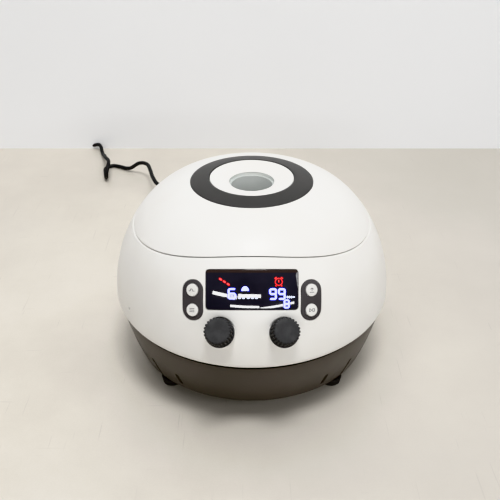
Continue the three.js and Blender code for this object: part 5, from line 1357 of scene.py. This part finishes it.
def plates(name, outlines, lift_of, levels, finish, body="housing"):
    """Thin plates of given outlines, gathered in one piece: a function lifts an outline to a lower
    and an upper level, the sides run straight between, and each end closes at its middle."""
    places, quads, fans = [], [], []
    base = 0
    for flat in outlines:
        count = len(flat)
        places += [lift_of(part, level) for part in (flat, flat.mean(0)[None]) for level in levels]
        at = np.arange(count)
        after = np.roll(at, -1)
        quads.append(base + np.stack([at, after, count + after, count + at], -1))
        fans.append(base + np.stack([after, at, np.full(count, 2 * count)], -1))
        fans.append(base + np.stack([count + at, count + after, np.full(count, 2 * count + 1)], -1))
        base += 2 * count + 2
    piece = mesh_object(name, np.vstack(places), np.vstack(quads), np.vstack(fans))
    finished(piece, finish, body=body)


def sign(name, outlines, finish, lift):
    """Lit plates that follow the display's glass at a small stand-off."""
    levels = (lift - SIGN_DEPTH, lift)
    plates(name, outlines, lambda flat, level: on_dome(WINDOW_FRAME, flat, level), levels, finish)


def bar(x, y, length, width, degrees=0.0, columns=20):
    """A stroke with round ends about a point: its outline, turned by an angle."""
    turn = math.radians(degrees)
    flat = outline(length, width, width / 2, columns)
    return flat @ np.array([[math.cos(turn), math.sin(turn)], [-math.sin(turn), math.cos(turn)]]) + (x, y)


def digit(value, left, top, width, height, stroke, grow=0.0):
    """A seven-bar figure between its left and top edges, its bars grown for a halo."""
    x, y = width - stroke, (height - stroke) / 2
    middle_x, middle_y = left + width / 2, top - height / 2
    places = {
        "a": (0, y, 0), "b": (x / 2, y / 2, 90), "c": (x / 2, -y / 2, 90), "d": (0, -y, 0),
        "e": (-x / 2, -y / 2, 90), "f": (-x / 2, y / 2, 90), "g": (0, 0, 0),
    }
    bars = []
    for key in FIGURE_BARS[value]:
        across, up, degrees = places[key]
        length = (y if degrees else x) - stroke * 0.2 + 2 * grow
        bars.append(bar(middle_x + across, middle_y + up, length, stroke + 2 * grow, degrees))
    return bars


def ring_of_bars(middle, radius, stroke):
    """A circle drawn with short bars."""
    x, y = middle
    length = radius * TURN / CLOCK_STROKES * 0.98
    return [
        bar(x + radius * math.cos(turn), y + radius * math.sin(turn), length, stroke,
            math.degrees(turn) + 90, columns=12)
        for turn in around(CLOCK_STROKES)
    ]


def display_signs():
    """Lit signs on the display: two values, their units, a lid, a clock and a rotor mark."""
    turn = np.linspace(0, math.pi, 24)
    (x, y), (half_width, height) = LID_SIGN
    cover = np.stack([x + half_width * np.cos(turn), y + height * np.sin(turn)], -1)
    halo = [stroke for figure in FIGURES for stroke in digit(*figure, grow=HALO_GROW)]
    white = [stroke for figure in FIGURES for stroke in digit(*figure)]
    halo.append(cover + (cover - cover.mean(0)) * 0.25)
    white += [bar(*unit) for unit in UNIT_BARS]
    sign("display_halo", halo, "glow_blue", SIGN_LIFT)
    sign("display_figures", [*white, cover], "glow", 2 * SIGN_LIFT)
    red = [bar(*mark) for mark in ROTOR_BARS] + ring_of_bars(*CLOCK_FACE) + [bar(*mark) for mark in CLOCK_BARS]
    sign("display_red_signs", red, "glow_red", SIGN_LIFT)


def key_marks():
    """Printed strokes on the four caps, with their bottoms inside the cap."""
    for (side, row), strokes in KEY_MARKS.items():
        place = moved(PAD_FRAMES[side], BUTTON_RISES[row])
        outlines = [bar(x, y, length, MARK_WIDTH, degrees) for x, y, length, degrees in strokes]

        def lift_of(flat, height):
            return placed(lifted(flat, height), place)

        plates(f"key_mark_{side}_{row}", outlines, lift_of, MARK_HEIGHTS, "mark", body=f"{side}_{row}_button")


def pads_and_buttons():
    """Each pad follows the dome; each cap is a profile turned in the pad's frame."""
    cap_profile = rounded_profile(BUTTON_PROFILE, BUTTON_ROUNDS)
    for side, place in PAD_FRAMES.items():
        pad = slab(f"pad_plate_{side}", place, PAD_SIZE, PAD_STAND, PAD_BACK, 12, 128, edge=0.3)
        carve(pad, [
            post("button_hole", moved(place, rise), BUTTON_RADIUS + FIT_GAP, -6, 6)
            for rise in BUTTON_RISES.values()
        ])
        finished(pad, "pad", f"button_pad_{side}")
        for row, rise in BUTTON_RISES.items():
            cap = revolve(f"{side}_{row}_key", cap_profile, 64, moved(place, rise))
            finished(cap, "button", f"button_{side}_{row}", body=f"{side}_{row}_button")


def knobs():
    """Each knob is r(a) = r - 1.15 d (1 - |sin(n a / 2)|^0.7) for n ridges with narrow valleys."""
    angle = around(KNOB_RIDGES * 12)
    valley = 1 - np.abs(np.sin(KNOB_RIDGES / 2 * angle)) ** KNOB_VALLEY_POWER
    radius, lift, depth = columns_of(KNOB_PROFILE)
    rows = circle(angle, radius - depth * KNOB_VALLEY_SHARE * valley, SEAT_LIFT + SEAT_GAP + lift)
    for side, place in KNOB_FRAMES.items():
        knob = skin(f"setting_knob_{side}", placed(rows, place), sharp=45)
        finished(knob, "knob", f"knob_{side}", body=f"{side}_knob")


# Supply pieces


def lead_plug():
    """Plug body and ribbed strain relief, turned about the lead as it leaves the bay."""
    first, step, reach, taper = PLUG_RIB
    profile = [*PLUG_BODY]
    for at in range(PLUG_RIBS):
        base = first + at * step
        profile += [(reach - at * taper, base), (reach - at * taper, base + PLUG_RIB_WIDTH)]
        profile += [(radius, base + rise) for radius, rise in PLUG_GROOVE]
    place = axis_frame((JACK_X, BAY_FACE + PLUG_STAND, BAY_MIDDLE), (0, 1, 0))
    return finished(revolve("plug_body", profile + [*PLUG_END], 64, place), "black", "lead_plug")


# CAD nodes that keep their shape


KEPT = {
    "sheet": ("base_plate", "motor_plate", "latch_frame"),
    "steel": ("hinge_pin", "lid_striker", "latch_bolt", "motor_shaft", "encoder_left", "encoder_right",
              "encoder_shaft_left", "encoder_shaft_right", "foot_screw_front_left", "foot_screw_front_right",
              "foot_screw_rear_left", "foot_screw_rear_right"),
    "board": ("power_board", "control_board", "display_module", "button_board_left", "button_board_right"),
    "black": ("inlet_jack", "rocker_frame", "power_rocker", "motor_body", "latch_solenoid", "adapter"),
    "rubber": ("motor_damper_1", "motor_damper_2", "motor_damper_3"),
    "shell": ("hinge_arm", "hinge_bracket_left", "hinge_bracket_right"),
}


def kept_nodes():
    """Gives the CAD nodes that keep their shape a finish."""
    for finish, names in KEPT.items():
        for name in names:
            dress(NODES[name], FINISHES[finish][1])


# Stage and light


def stage():
    """The worktop and the wall behind it, each a flat sheet."""
    x, z = STAGE_HALF_WIDTH, STAGE_FLOOR
    sheets = (
        ("table", [(-x, -x, z), (x, -x, z), (x, x, z), (-x, x, z)], table_finish()),
        ("wall", [
            (-x, WALL_DISTANCE, z), (x, WALL_DISTANCE, z), (x, WALL_DISTANCE, WALL_HEIGHT),
            (-x, WALL_DISTANCE, WALL_HEIGHT),
        ], wall_finish()),
    )
    for name, corners, material in sheets:
        mesh = bpy.data.meshes.new(name)
        mesh.from_pydata(corners, [], [(0, 1, 2, 3)])
        piece = bpy.data.objects.new(name, mesh)
        bpy.context.scene.collection.objects.link(piece)
        piece.data.materials.append(material)


def table_finish():
    """Worn pale metal worktop: cloudy, finely speckled, with short scratches in two directions."""
    finish = Finish("table_top", IOR=1.5, Metallic=0.1)
    cloud = finish.noise(4.5, 6.0, rough=0.62).ramp(0.3, 0.72)
    speckle = finish.noise(900).ramp(0.25, 0.75)
    scratch = finish.noise(1.0, stretch=(420.0, 14.0, 1.0), rough=0.6).ramp(0.68, 0.74)
    cross_scratch = finish.noise(1.0, stretch=(17.0, 300.0, 1.0), rough=0.6).ramp(0.69, 0.75)
    warm = finish.mix_colors(cloud * 0.8 + speckle * 0.2, (204, 198, 187), (222, 216, 206))
    across_table = finish.along("X").ramp(-0.05, 0.32)
    cool = finish.noise(2.1, 3.0).ramp(0.5, 0.75) * 0.4 + across_table * 0.6
    shade = finish.mix_colors(cool, warm, (178, 174, 167))
    worn = scratch * 0.3 + cross_scratch * 0.25
    finish.vary("Base Color", finish.mix_colors(worn, shade, (168, 162, 154)))
    finish.vary("Roughness", cloud * 0.12 + speckle * 0.06 + 0.38)
    return finish.bump(speckle - scratch, 0.006).material


def wall_finish():
    """Even pale wall seen from its front only: from behind it lets the view through."""
    finish = Finish("wall_paint", Roughness=0.8)
    cloud = finish.noise(2.2, 3.0)
    finish.vary("Base Color", finish.mix_colors(cloud.ramp(0.3, 0.7), (236, 237, 239), (240, 241, 243)))
    behind = finish.node("ShaderNodeNewGeometry", output="Backfacing")
    return finish.blend(behind, finish.surface(), finish.node("ShaderNodeBsdfTransparent")).material


def lamp(name, place, target, size, power):
    """A rectangular area lamp aimed at a point, in metres and watts."""
    data = bpy.data.lights.new(name, "AREA")
    data.shape = "RECTANGLE"
    data.size, data.size_y = size
    data.energy = power
    light = bpy.data.objects.new(name, data)
    light.location = place
    light.rotation_euler = (Vector(target) - Vector(place)).to_track_quat("-Z", "Y").to_euler()
    bpy.context.scene.collection.objects.link(light)


def lights():
    """A lamp overhead, a broad one at the right, a soft ceiling and four panels before the console."""
    world = bpy.data.worlds.new("room")
    world.use_nodes = True
    sky = world.node_tree.nodes["Background"]
    sky.inputs["Color"].default_value = ROOM_SHADE
    sky.inputs["Strength"].default_value = ROOM_LIGHT
    bpy.context.scene.world = world
    bpy.context.scene.view_settings.view_transform = "Khronos PBR Neutral"
    for settings in LAMPS:
        lamp(*settings)
    for at, (left, right, forward) in enumerate(PANELS):
        width = right - left
        place = ((left + right) / 2, forward, PANEL_HEIGHT)
        lamp(f"ceiling_panel_{at + 1}", place, (0, 0, 0.1), (width, PANEL_DEPTH), PANEL_POWER * width)


camera()
stage()
lights()
upper_shell()
base_bowl()
feet()
lid_shell()
lid_liner()
lid_ring()
lid_dish()
sight_glass()
rotor()
rotor_nut()
chamber()
display()
display_signs()
pads_and_buttons()
key_marks()
knobs()
supply_lead(lead_plug())
kept_nodes()
